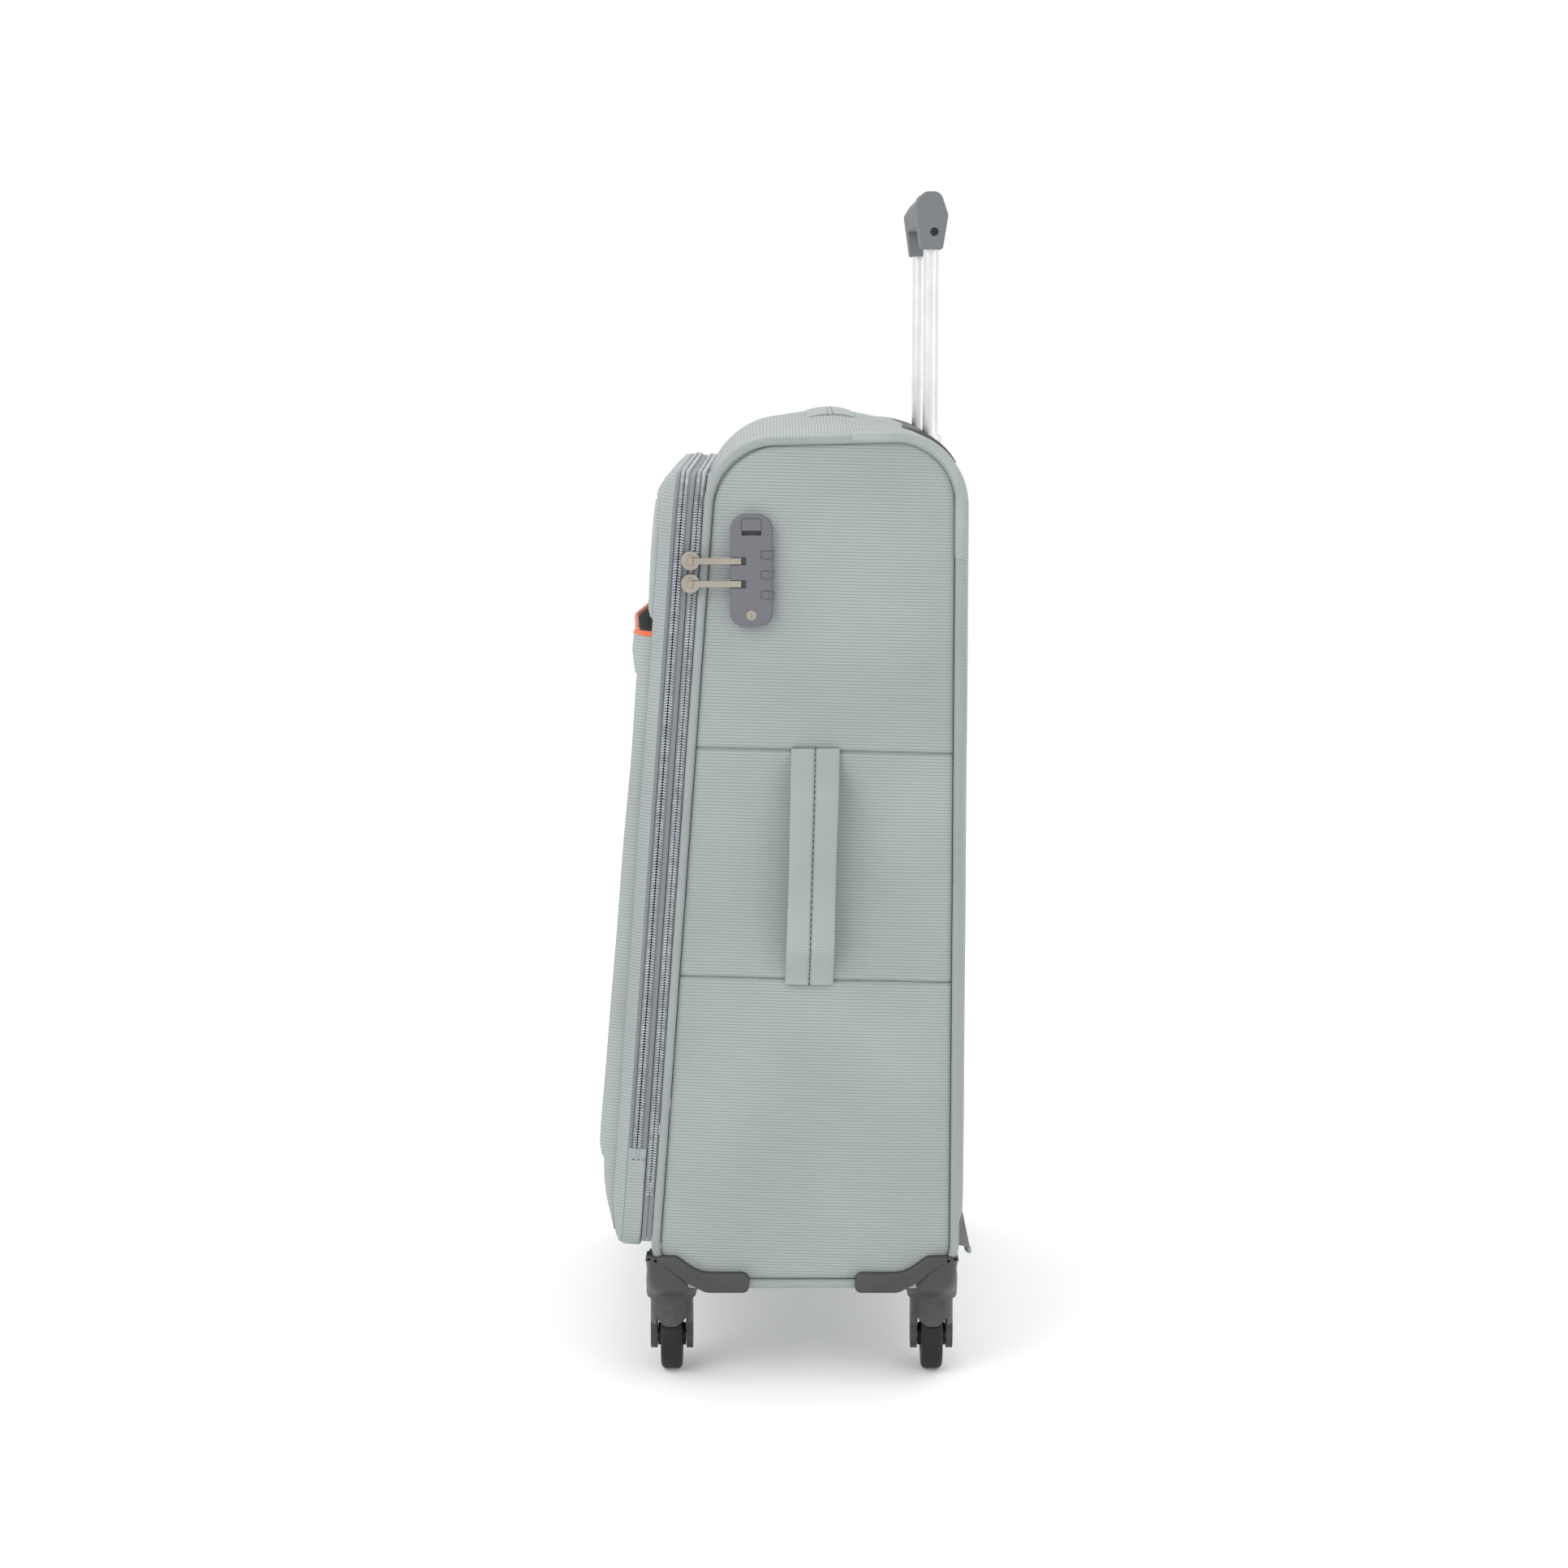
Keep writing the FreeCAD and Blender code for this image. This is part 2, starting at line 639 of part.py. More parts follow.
def grip_hollow():
    """Channel for the button and its rods, and the sockets that the tubes seat in."""
    reach = TUBE_X + TUBE_DEPTH / 2
    half = BUTTON_W / 2 + BUTTON_PLAY
    roof = GRIP_TOP - BUTTON_H + GRIP_FLOOR
    channel = box(-reach, reach, TUBE_Y - half, TUBE_Y + half, GRIP_CHANNEL, roof)
    window_half = BUTTON_LEN / 2 + BUTTON_PLAY
    window = box(-window_half, window_half, TUBE_Y - half, TUBE_Y + half, roof - 1, 2 * GRIP_TOP)
    width, depth = tube_size(0)
    socket = tube_solid(width, depth, GRIP_FOOT, INNER_TUBE_TOP)
    throat = rod(ROD_R + 1, V(TUBE_X, TUBE_Y, GRIP_FOOT), V(TUBE_X, TUBE_Y, GRIP_CHANNEL + 1))
    return group(channel, window, socket, mirrored(socket), throat, mirrored(throat))


def cut_all(shape, tools):
    for tool in tools.Solids:
        shape = shape.cut(tool)
    return shape


def screw_rod(radius, depth):
    """Rod on the grip screw's axis, from the screw's inner end to a depth below the grip's end face."""
    end = V(GRIP_HALF_LEN, TUBE_Y + SCREW_OFF, GRIP_FOOT + SCREW_RISE)
    return rod(radius, end - V(SCREW_LEN, 0, 0), end - V(depth, 0, 0))


def grip_body():
    lower = grip_solid().common(box(-CASE_WIDTH, CASE_WIDTH, 0, 2 * TUBE_Y, 0, GRIP_SPLIT))
    lower = cut_all(lower, grip_hollow())
    hole = screw_rod(SCREW_R, -1)
    return lower.cut(hole).cut(mirrored(hole))


def grip_cover():
    upper = grip_solid().common(box(-CASE_WIDTH, CASE_WIDTH, 0, 2 * TUBE_Y, GRIP_SPLIT, 2 * GRIP_TOP))
    return cut_all(upper, grip_hollow())


def grip_screws():
    """Cross-head screws sunk in the grip's end faces."""
    head = screw_rod(SCREW_R - RUN_FIT, SCREW_SUNK)
    low = GRIP_HALF_LEN - SCREW_SUNK - CROSS_DEPTH
    y = TUBE_Y + SCREW_OFF
    z = GRIP_FOOT + SCREW_RISE
    for half_y, half_z in ((CROSS_W / 2, CROSS_LEN / 2), (CROSS_LEN / 2, CROSS_W / 2)):
        head = head.cut(box(low, GRIP_HALF_LEN, y - half_y, y + half_y, z - half_z, z + half_z))
    return group(head, mirrored(head))


def grip_button():
    half = BUTTON_LEN / 2
    deep = BUTTON_W / 2
    return box(-half, half, TUBE_Y - deep, TUBE_Y + deep, GRIP_TOP - BUTTON_H, GRIP_TOP + BUTTON_PROUD)


def push_rods():
    """Cross beam under the button with a rod down each tube to its latch."""
    reach = TUBE_X + ROD_R
    top = GRIP_TOP - BUTTON_H
    beam = box(-reach, reach, TUBE_Y - ROD_R, TUBE_Y + ROD_R, top - BEAM_H, top)
    low = INNER_TUBE_TOP - TUBE_LENGTH + ROD_TAIL
    arm = rod(ROD_R, V(TUBE_X, TUBE_Y, low), V(TUBE_X, TUBE_Y, top - 1))
    return beam.fuse(arm).fuse(mirrored(arm)).removeSplitter()


def button_spring():
    """Return springs between the grip's channel floor and the beam."""
    floor = GRIP_CHANNEL
    top = GRIP_TOP - BUTTON_H - BEAM_H
    tube = rod(SPRING_R, V(TUBE_X / 2, TUBE_Y, floor), V(TUBE_X / 2, TUBE_Y, top))
    tube = tube.cut(rod(SPRING_R - SPRING_WIRE, V(TUBE_X / 2, TUBE_Y, floor), V(TUBE_X / 2, TUBE_Y, top)))
    return group(tube, mirrored(tube))


def bezel_block(grow):
    """Curved plate zone over the rear top edge."""
    half = BEZEL_HALF_W + grow
    outer = case_slab(PIPING_W / 4 - BEZEL_T, -half, half)
    outer = outer.cut(case_slab(PIPING_W / 4 + PANEL_T, -half, half))
    low = CASE_TOP - TOP_CORNER_R / 2 - grow
    zone = box(-half, half, BEZEL_FRONT_Y - grow, CASE_HEIGHT, low, 2 * CASE_TOP)
    return outer.common(zone)


def trolley_bezel():
    width, depth = tube_size(2)
    hole = tube_solid(width + 2 * TUBE_PLAY, depth + 2 * TUBE_PLAY, 0, 2 * CASE_TOP)
    return bezel_block(0).cut(hole).cut(mirrored(hole))


def trolley_foot_bracket():
    """Shoe that holds both outer tubes to the base pan."""
    width, depth = tube_size(2)
    half = TUBE_X + width
    floor = CASE_BOTTOM + PIPING_W / 4 + PANEL_T
    deep = depth / 2 + BRACKET_WALL
    block = box(-half, half, TUBE_Y - deep, TUBE_Y + deep, floor, OUTER_TUBE_FOOT + depth)
    block = block.common(case_slab(PIPING_W / 4 + PANEL_T, -half, half))
    bay = TUBE_X - width
    block = block.cut(box(-bay, bay, 0, 2 * TUBE_Y, floor + PANEL_T, CASE_TOP))
    socket = tube_solid(width, depth, OUTER_TUBE_FOOT, CASE_TOP)
    return block.cut(socket).cut(mirrored(socket))


# ---- casters ----
def caster_places():
    return {
        "front_right": (SWIVEL_X, FRONT_SWIVEL_Y),
        "front_left": (-SWIVEL_X, FRONT_SWIVEL_Y),
        "rear_right": (SWIVEL_X, REAR_SWIVEL_Y),
        "rear_left": (-SWIVEL_X, REAR_SWIVEL_Y),
    }


def shoe_wing(rear):
    """(y, z) outline of the corner shoe's side wing, high at the corner and low at its tip."""
    edge = BACK_Y if rear else -FRONT_FOOT_Y
    tip = edge - SHOE_LEN
    high = CASE_BOTTOM + SHOE_RISE_CORNER
    low = CASE_BOTTOM + SHOE_RISE_TIP
    shoulder = edge - SHOE_CORNER_W
    points = [(edge, SHOE_FLOOR), (edge - SHOE_EDGE_SLOPE, high), (shoulder, high)]
    points += [(shoulder - 2 * (high - low), low), (tip, low), (tip, SHOE_FLOOR)]
    radii = [3.0, 2.0, 7.0, 14.0, 4.0, 2.0]
    if rear:
        return points, radii
    return [(-y, z) for y, z in points], radii


def caster_housing(x, y, rear):
    """Corner shoe with a domed socket for the swivel."""
    wing = across(*shoe_wing(rear), HALF_W + SEAM_GAP / 4, HALF_W + SHOE_T)
    floor_top = CASE_BOTTOM - SEAM_GAP / 4
    side = 1 if rear else -1
    edge = (BACK_Y + SHOE_T / 2) if rear else (FRONT_FOOT_Y - SHOE_T / 2)
    tip = edge - side * SHOE_LEN
    low, high = min(edge, tip), max(edge, tip)
    sole = box(SWIVEL_X - SWIVEL_SIDE, HALF_W + SHOE_T, low, high, SHOE_FLOOR, floor_top)
    sole = soften(sole, SHOE_CORNER_R, lambda e: abs(e.tangentAt(e.FirstParameter).z) > 0.9)
    base = V(SWIVEL_X, y, FORK_TOP + FORK_GAP)
    dome = Part.makeCone(DOME_R, DOME_TOP_R, floor_top - base.z, base, V(0, 0, 1))
    shoe = wing.fuse(sole).fuse(dome)
    shoe = shoe.cut(rod(KINGPIN_R, V(SWIVEL_X, y, 0), V(SWIVEL_X, y, KINGPIN_TOP)))
    shoe = shoe.removeSplitter()
    return shoe if x > 0 else mirrored(shoe)


def kingpins():
    pins = []
    for x, y in caster_places().values():
        pins.append(rod(KINGPIN_R, V(x, y, KINGPIN_FOOT), V(x, y, KINGPIN_TOP)))
    return group(*pins)


def fork(x, y):
    """Swivelling yoke: a hub under the dome, a hood over the wheel and two prongs to the axle."""
    half = FORK_W / 2
    axle_x = x - TRAIL
    hub = rod(half, V(x, y, FORK_ARCH), V(x, y, FORK_TOP))
    hood = box(axle_x - half, x, y - half, y + half, FORK_ARCH, FORK_TOP)
    outer_x = axle_x - half + 1
    hood = soften(hood, HOOD_R, lambda e: e.CenterOfMass.x < outer_x and e.CenterOfMass.z > FORK_ARCH + 1)
    prong = box(axle_x - PRONG_R, axle_x + PRONG_R, y - half, y + half, WHEEL_R, FORK_ARCH + 1)
    tip = rod(PRONG_R, V(axle_x, y - half, WHEEL_R), V(axle_x, y + half, WHEEL_R))
    yoke = hub.fuse(hood).fuse(prong).fuse(tip)
    inner = half - PRONG_T
    wheel_room = rod(WHEEL_R + WHEEL_GAP, V(axle_x, y - inner, WHEEL_R), V(axle_x, y + inner, WHEEL_R))
    yoke = yoke.cut(wheel_room)
    yoke = yoke.cut(box(axle_x - 2 * half, x + half, y - inner, y + inner, 0, WHEEL_R + 2 * WHEEL_GAP))
    bore = KINGPIN_R + RUN_FIT
    yoke = yoke.cut(rod(bore, V(x, y, KINGPIN_FOOT - 1), V(x, y, FORK_TOP + 1)))
    yoke = yoke.cut(rod(AXLE_R, V(axle_x, y - half, WHEEL_R), V(axle_x, y + half, WHEEL_R)))
    return yoke.removeSplitter()


def wheel(x, y):
    """Tyre and hub turned as one about the axle, with rounded tread shoulders and raised hub bosses."""
    tread = WHEEL_R
    side = WHEEL_W / 2
    boss = HUB_W / 2
    bore = AXLE_R + RUN_FIT
    points = [(bore, -boss), (HUB_R, -boss), (HUB_R, -side), (tread, -side)]
    points += [(tread, side), (HUB_R, side), (HUB_R, boss), (bore, boss)]
    radii = [0, 0, 0, SHOULDER_R, SHOULDER_R, 0, 0, 0]
    middle = V(x - TRAIL, y, WHEEL_R)
    wire = rounded_wire([middle + V(r, along, 0) for r, along in points], radii)
    return Part.Face(wire).revolve(middle, V(0, 1, 0), 360)


def axle(x, y):
    axle_x = x - TRAIL
    half = FORK_W / 2 - AXLE_SHY
    return rod(AXLE_R, V(axle_x, y - half, WHEEL_R), V(axle_x, y + half, WHEEL_R))


# ---- lock and zip sliders ----
def lock_block(x0, x1, grow):
    """Upright lozenge of the lock case."""
    half = LOCK_W / 2 + grow
    points = [(LOCK_Y - half, LOCK_LOW - grow), (LOCK_Y + half, LOCK_LOW - grow)]
    points += [(LOCK_Y + half, LOCK_HIGH + grow), (LOCK_Y - half, LOCK_HIGH + grow)]
    foot = LOCK_FOOT_R + grow
    top = LOCK_TOP_R + grow
    return across(points, [foot, foot, top, top], x0, x1)


def dial_centre(index):
    return V(lock_face() - DIAL_IN, LOCK_Y + LOCK_W / 2 - DIAL_IN, DIAL_MID_Z + (index - 1) * DIAL_PITCH)


def lock_face():
    return SIDE_X + LOCK_T


def pull_heights():
    return PULL_MID_Z + PULL_PITCH / 2, PULL_MID_Z - PULL_PITCH / 2


def lock_body():
    block = lock_block(SIDE_X - LOCK_SUNK, lock_face(), 0)
    block = soften(block, LOCK_EDGE_R, lambda e: e.CenterOfMass.x > lock_face() - 0.01)
    for index in range(3):
        c = dial_centre(index)
        half = DIAL_W / 2 + DIAL_PLAY
        block = block.cut(rod(DIAL_R + 2 * DIAL_PLAY, c - V(0, 0, half), c + V(0, 0, half)))
    shaft = DIAL_SHAFT_R - RUN_FIT
    block = block.fuse(rod(shaft, dial_centre(0) - V(0, 0, DIAL_W), dial_centre(2) + V(0, 0, DIAL_W)))
    for z in pull_heights():
        half = PULL_H / 2 + SLOT_GAP
        floor = pull_pin(z).x - PULL_T
        end = LOCK_Y - PULL_SHY / 2
        block = block.cut(box(floor, lock_face() + 1, LOCK_Y - LOCK_W, end, z - half, z + half))
    key = V(lock_face() - KEY_LEN, LOCK_Y, KEY_Z)
    block = block.cut(rod(KEY_R + KEY_PLAY, key, key + V(2 * KEY_LEN, 0, 0)))
    return block.cut(release_block(DIAL_PLAY, RELEASE_TRAVEL)).removeSplitter()


def release_block(grow, travel):
    """The release button's block, or with travel the window that it slides down in."""
    half = RELEASE_W / 2 + grow
    top = LOCK_HIGH - RELEASE_DROP + grow
    low = LOCK_HIGH - RELEASE_DROP - RELEASE_H - travel - grow
    return box(lock_face() - RELEASE_DEPTH - grow, lock_face() + 1, LOCK_Y - half, LOCK_Y + half, low, top)


def lock_release_button():
    block = release_block(0, 0)
    return block.cut(box(lock_face() + BUTTON_PROUD, CASE_WIDTH, -CASE_WIDTH, CASE_WIDTH, 0, CASE_TOP))


def lock_dial(index):
    c = dial_centre(index)
    half = DIAL_W / 2
    dial = rod(DIAL_R, c - V(0, 0, half), c + V(0, 0, half))
    for k in range(DIAL_MARKS):
        a = 2 * math.pi * (k + 0.5) / DIAL_MARKS
        notch = c + V(math.cos(a), math.sin(a), 0) * (DIAL_R + DIAL_NOTCH_R / 2)
        dial = dial.cut(rod(DIAL_NOTCH_R, notch - V(0, 0, DIAL_W), notch + V(0, 0, DIAL_W)))
    return dial.cut(rod(DIAL_SHAFT_R, c - V(0, 0, DIAL_W), c + V(0, 0, DIAL_W)))


def key_cylinder():
    face = lock_face() + KEY_PLAY
    barrel = rod(KEY_R, V(face - KEY_LEN, LOCK_Y, KEY_Z), V(face, LOCK_Y, KEY_Z))
    across_y = KEY_SLOT_W / 2
    across_z = KEY_SLOT_H / 2
    floor = face - KEY_SLOT_DEPTH
    slot = box(floor, face + 1, LOCK_Y - across_y, LOCK_Y + across_y, KEY_Z - across_z, KEY_Z + across_z)
    return barrel.cut(slot)


def slider_face():
    return HALF_W + SEAM_GAP + SLIDER_T


def pull_pin(z):
    return V(slider_face() + PULL_EYE_R + SEAM_GAP, SLIDER_Y, z)


def zip_sliders():
    """Round slider bodies on the main zip, each with two ears that hold its pull's pin."""
    made = []
    for z in pull_heights():
        disc = rod(SLIDER_R, V(HALF_W + SEAM_GAP, SLIDER_Y, z), V(slider_face(), SLIDER_Y, z))
        pin = pull_pin(z)
        gap = PULL_H / 2 + EAR_GAP
        reach = gap + EAR_T
        ears = box(slider_face() - 1, pin.x + EAR_R, pin.y - EAR_R, pin.y + EAR_R, z - reach, z + reach)
        slot = 2 * EAR_R
        ears = ears.cut(box(slider_face(), pin.x + slot, pin.y - slot, pin.y + slot, z - gap, z + gap))
        post = rod(PULL_PIN_R, pin - V(0, 0, reach - EAR_T / 2), pin + V(0, 0, reach - EAR_T / 2))
        made.append(disc.fuse(ears).fuse(post).removeSplitter())
    return group(*made)


def zip_pull(z):
    """Flat bar from the pin to the lock's slot, with an eye round the pin."""
    pin = pull_pin(z)
    half = PULL_H / 2
    tip = LOCK_Y - PULL_SHY
    eye = rod(PULL_EYE_R, pin - V(0, 0, half), pin + V(0, 0, half))
    bar = box(pin.x - PULL_T / 2, pin.x + PULL_T / 2, pin.y, tip, z - half, z + half)
    hole = rod(PULL_PIN_R + PULL_PLAY, pin - V(0, 0, PULL_H), pin + V(0, 0, PULL_H))
    return eye.fuse(bar).cut(hole).removeSplitter()


# ---- assembly ----
def case_parts():
    ring = piping_ring()
    bumper = corner_bumper()
    return {
        "base_pan": base_pan().cut(in_front(-PANEL_T - SEAM_GAP)),
        "back_panel": back_panel(),
        "top_panel": top_panel(),
        "side_panel_right": lock_hollow(side_panel()),
        "side_panel_left": mirrored(side_panel()),
        "front_frame": front_frame(),
        "piping": group(ring, mirrored(ring)),
        "corner_bumpers": group(bumper, mirrored(bumper)),
        "lining": lining().cut(lock_block(0, HALF_W, 1)),
        "side_handle": side_handle(),
        "top_handle": top_handle(),
        "side_feet": side_feet(),
    }


def lid_parts():
    return {
        "main_zip_case": zip_half(ZIP_CASE_N, ZIP_FOOT),
        "main_zip_lid": zip_half(ZIP_LID_N, ZIP_FOOT),
        "lid_hinge_strip": lid_hinge_strip(),
        "lid_band": lid_band(),
        "expander_zip_lid": zip_half(EXPANDER_LID_N, EXPANDER_FOOT),
        "expander_gusset": expander_gusset(),
        "expander_zip_front": zip_half(EXPANDER_FRONT_N, EXPANDER_FOOT),
        "front_panel": front_panel(),
        "upper_pocket": upper_pocket(),
        "lower_pocket": lower_pocket(),
    }


def trolley_parts():
    return {
        "outer_tubes": tube_pair(2, OUTER_TUBE_FOOT, CASE_TOP - PIPING_W),
        "middle_tubes": tube_pair(1, OUTER_TUBE_FOOT + STAGE_STEP, CASE_TOP - PIPING_W + 1),
        "inner_tubes": tube_pair(0, INNER_TUBE_TOP - TUBE_LENGTH, INNER_TUBE_TOP),
        "grip_body": grip_body(),
        "grip_cover": grip_cover(),
        "grip_screws": grip_screws(),
        "grip_button": grip_button(),
        "push_rods": push_rods(),
        "button_spring": button_spring(),
        "trolley_bezel": trolley_bezel(),
        "trolley_foot_bracket": trolley_foot_bracket(),
    }


def caster_parts():
    made = {"kingpins": kingpins()}
    for name, (x, y) in caster_places().items():
        made["caster_housing_" + name] = caster_housing(x, y, y > 0)
        made["fork_" + name] = fork(x, y)
        made["wheel_" + name] = wheel(x, y)
        made["axle_" + name] = axle(x, y)
    return made


def lock_parts():
    upper, lower = pull_heights()
    made = {
        "lock_body": lock_body(),
        "lock_release_button": lock_release_button(),
        "key_cylinder": key_cylinder(),
        "zip_sliders": zip_sliders(),
        "zip_pull_upper": zip_pull(upper),
        "zip_pull_lower": zip_pull(lower),
    }
    for index, name in enumerate(("lower", "middle", "upper")):
        made["lock_dial_" + name] = lock_dial(index)
    return made


def main():
    os.makedirs("parts", exist_ok=True)
    made = {}
    for section in (case_parts, lid_parts, trolley_parts, caster_parts, lock_parts):
        made.update(section())
    boxes = [shape.BoundBox for shape in made.values()]
    centre_x = (min(b.XMin for b in boxes) + max(b.XMax for b in boxes)) / 2
    centre_y = (min(b.YMin for b in boxes) + max(b.YMax for b in boxes)) / 2
    for name, shape in made.items():
        shape.translate(V(-centre_x, -centre_y, 0))
        shape.exportStep("parts/" + name + ".step")


main()
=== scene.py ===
import math

import bmesh
import bpy
import numpy as np
from bpy.props import FloatProperty, FloatVectorProperty, PointerProperty
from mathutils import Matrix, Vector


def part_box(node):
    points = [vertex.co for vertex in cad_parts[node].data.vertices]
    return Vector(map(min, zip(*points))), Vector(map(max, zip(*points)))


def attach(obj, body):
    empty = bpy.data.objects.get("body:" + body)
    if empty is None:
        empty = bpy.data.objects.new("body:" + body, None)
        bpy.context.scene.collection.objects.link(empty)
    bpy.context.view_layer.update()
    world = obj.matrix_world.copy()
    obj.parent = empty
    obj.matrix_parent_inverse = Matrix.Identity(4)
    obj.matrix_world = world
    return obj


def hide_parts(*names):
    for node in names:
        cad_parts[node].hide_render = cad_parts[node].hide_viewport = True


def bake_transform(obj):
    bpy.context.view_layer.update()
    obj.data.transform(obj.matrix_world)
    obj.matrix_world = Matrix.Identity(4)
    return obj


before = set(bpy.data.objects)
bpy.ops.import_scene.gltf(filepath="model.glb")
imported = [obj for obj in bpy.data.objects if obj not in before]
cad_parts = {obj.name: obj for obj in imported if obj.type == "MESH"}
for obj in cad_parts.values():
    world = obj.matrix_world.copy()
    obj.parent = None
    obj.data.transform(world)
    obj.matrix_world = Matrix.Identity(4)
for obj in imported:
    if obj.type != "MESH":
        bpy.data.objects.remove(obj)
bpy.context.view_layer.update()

bl_info = {
    "name": "Softside Suitcase",
    "version": (1, 0, 0),
    "blender": (4, 5, 0),
    "location": "View3D > Sidebar > Suitcase",
    "description": "Builds the fabric, zips, handles, trolley and casters of an upright softside suitcase",
    "category": "Add Mesh",
}

# Shapes are worked out in millimetres and scaled once, when a mesh is made.
# Front-plane coordinates are x, n outwards from the case's leaning front plane, and s up along it.
MM = 0.001
# Vertices this close, in metres, are welded; edges sharper than this angle stay crisp.
WELD = 1e-7
SHARP_ANGLE = math.radians(38)


def low(node):
    return np.array(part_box(node)[0]) / MM


def high(node):
    return np.array(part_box(node)[1]) / MM


CASE_FOOT, CASE_HEAD = low("piping")[2], high("piping")[2]
CASE_BACK = high("piping")[1]
CASE_DEPTH = 222.4
FRONT_FOOT = CASE_BACK - CASE_DEPTH
LEAN = math.radians(4.28)
TOP_R, FRONT_TOP_R, FOOT_R, TOP_FALL = 48.0, 49.0, 32.0, 4.0
LID_HALF = high("lid_band")[0]
LID_FOOT, LID_HEAD, LID_TOP_R, LID_FOOT_R = 28.0, 571.0, 46.0, 15.0
COIL_W = 2.9
MAIN_ZIP_FOOT, EXPANDER_FOOT = 38.0, 92.0
TRAY_EDGE_N = 21.0
POCKET_HALF, POCKET_FOOT, POCKET_SEAM, POCKET_HEAD = LID_HALF - 9, 37.2, 430.0, 459.0
SIDE_SEAMS = (450.4, 290.4)
# Edges of the shell cloth: beside the pipings, and under them.
SHELL_HALF, SIDE_BACK_X, SIDE_FACE_X = 208.2, 207.8, 209.6
# Middle of the top handle, and where the side handle and the wings of the caster shoes stand.
TOP_Y = 33.0
STRAP_FOOT, STRAP_HEAD, STRAP_STAND = 288.0, 452.0, 20.5
WING_X, WING_V = 204.0, -2.4
WING_EDGE = ((0.6, 0.0), (0.0, 0.6), (0.0, 13.0), (0.35, 14.0), (1.3, 14.6))
# Rise of the domed top above its edge line, at each y.
DOME_Y = [-60, -45, -28, -8, 12, 25, 34, 42, 58, 74, 86, 95, 120]
DOME_RISE = [5.5, 5.5, 7.2, 9.8, 12.6, 14.4, 14.8, 14.0, 10.8, 7.0, 4.0, 2.0, 0.4]


# ---- settings a user would change ----
def colour(name, description, value):
    return FloatVectorProperty(
        name=name, description=description, subtype="COLOR", size=4, min=0, max=1, default=(*value, 1)
    )


def length(name, description, value):
    return FloatProperty(name=name, description=description, unit="LENGTH", precision=4, default=value * MM)


class FabricSettings(bpy.types.PropertyGroup):
    """Colours and weave of the cloth parts."""

    cloth: colour("Cloth", "Ribbed shell fabric", (0.318, 0.356, 0.350))
    welt: colour("Welt", "Plain fabric of the piping and corner bumpers", (0.315, 0.352, 0.346))
    tape: colour("Zip tape", "Woven zip tape", (0.205, 0.228, 0.240))
    coil: colour("Zip coil", "Nylon coil of the zips", (0.27, 0.295, 0.315))
    lining: colour("Lining", "Inner lining", (0.060, 0.072, 0.068))
    binding: colour("Binding", "Bound edge of the slip pocket", (0.80, 0.150, 0.045))
    thread: colour("Thread", "Sewing thread", (0.060, 0.068, 0.070))
    rib_pitch: length("Rib pitch", "Distance between two ribs of the shell fabric", 2.2)
    yarn_pitch: length("Yarn pitch", "Distance between two yarns along a rib", 1.3)


class ShapeSettings(bpy.types.PropertyGroup):
    """Sizes of the soft and sewn parts."""

    side_puff: length("Side puff", "How far the side cloth swells between its seams", 4.2)
    pad_puff: length("Pocket puff", "How far the padded pocket front swells", 3.0)
    back_crown: length("Back crown", "Rise of the back panel at its middle", 3.0)
    tooth_pitch: length("Tooth pitch", "Distance between two turns of a zip coil", 1.9)
    stitch_gap: length("Stitch gap", "Distance from one stitch to the next", 4.2)
    mouth_sag: length("Mouth sag", "How far the slip pocket's mouth sags outwards", 4.5)


class HardwareSettings(bpy.types.PropertyGroup):
    """Colours of the moulded and metal parts."""

    shoe: colour("Corner shoe", "Moulded corner shoes and forks", (0.042, 0.042, 0.042))
    grip: colour("Grip", "Moulded trolley grip", (0.064, 0.066, 0.076))
    lock: colour("Lock", "Moulded lock case", (0.068, 0.068, 0.078))
    dark: colour("Dark plastic", "Trolley bezel, rest feet and buttons", (0.060, 0.063, 0.070))
    tyre: colour("Tyre", "Rubber of the wheels", (0.013, 0.013, 0.013))
    tube: colour("Tube", "Anodised tube", (0.78, 0.785, 0.78))
    metal: colour("Nickel", "Plated sliders and pulls", (0.43, 0.385, 0.335))


def fabric():
    return bpy.context.scene.suitcase_fabric


def shape():
    return bpy.context.scene.suitcase_shape


def hardware():
    return bpy.context.scene.suitcase_hardware


# ---- curves ----
def unit(vectors):
    return vectors / np.linalg.norm(vectors, axis=-1, keepdims=True)


def smooth(t):
    """Eased step: 3 t squared minus 2 t cubed, with t held between 0 and 1."""
    t = np.clip(t, 0, 1)
    return t * t * (3 - 2 * t)


def resample(points, step):
    """The same path with points at even steps of its own length, and those lengths."""
    gaps = np.linalg.norm(np.diff(points, axis=0), axis=1)
    along = np.concatenate([[0], np.cumsum(gaps)])
    even = np.linspace(0, along[-1], max(int(round(along[-1] / step)), 2) + 1)
    return np.stack([np.interp(even, along, column) for column in points.T], 1), even


def polyline(corners, radii, step):
    """Open plane path through the corners: straight runs joined by arcs between their tangent points."""
    corners = np.asarray(corners, float)
    runs = [corners[:1]]
    t = np.linspace(0, 1, 33)[:, None]
    for before, corner, after, radius in zip(corners[:-2], corners[1:-1], corners[2:], radii[1:-1]):
        back, ahead = unit(before - corner), unit(after - corner)
        half = math.acos(back @ ahead) / 2
        centre = corner + unit(back + ahead) * radius / math.sin(half)
        start = corner + back * radius / math.tan(half) - centre
        end = corner + ahead * radius / math.tan(half) - centre
        turn = math.pi - 2 * half
        runs.append(centre + (np.sin((1 - t) * turn) * start + np.sin(t * turn) * end) / math.sin(turn))
    runs.append(corners[-1:])
    return resample(np.concatenate(runs), step)


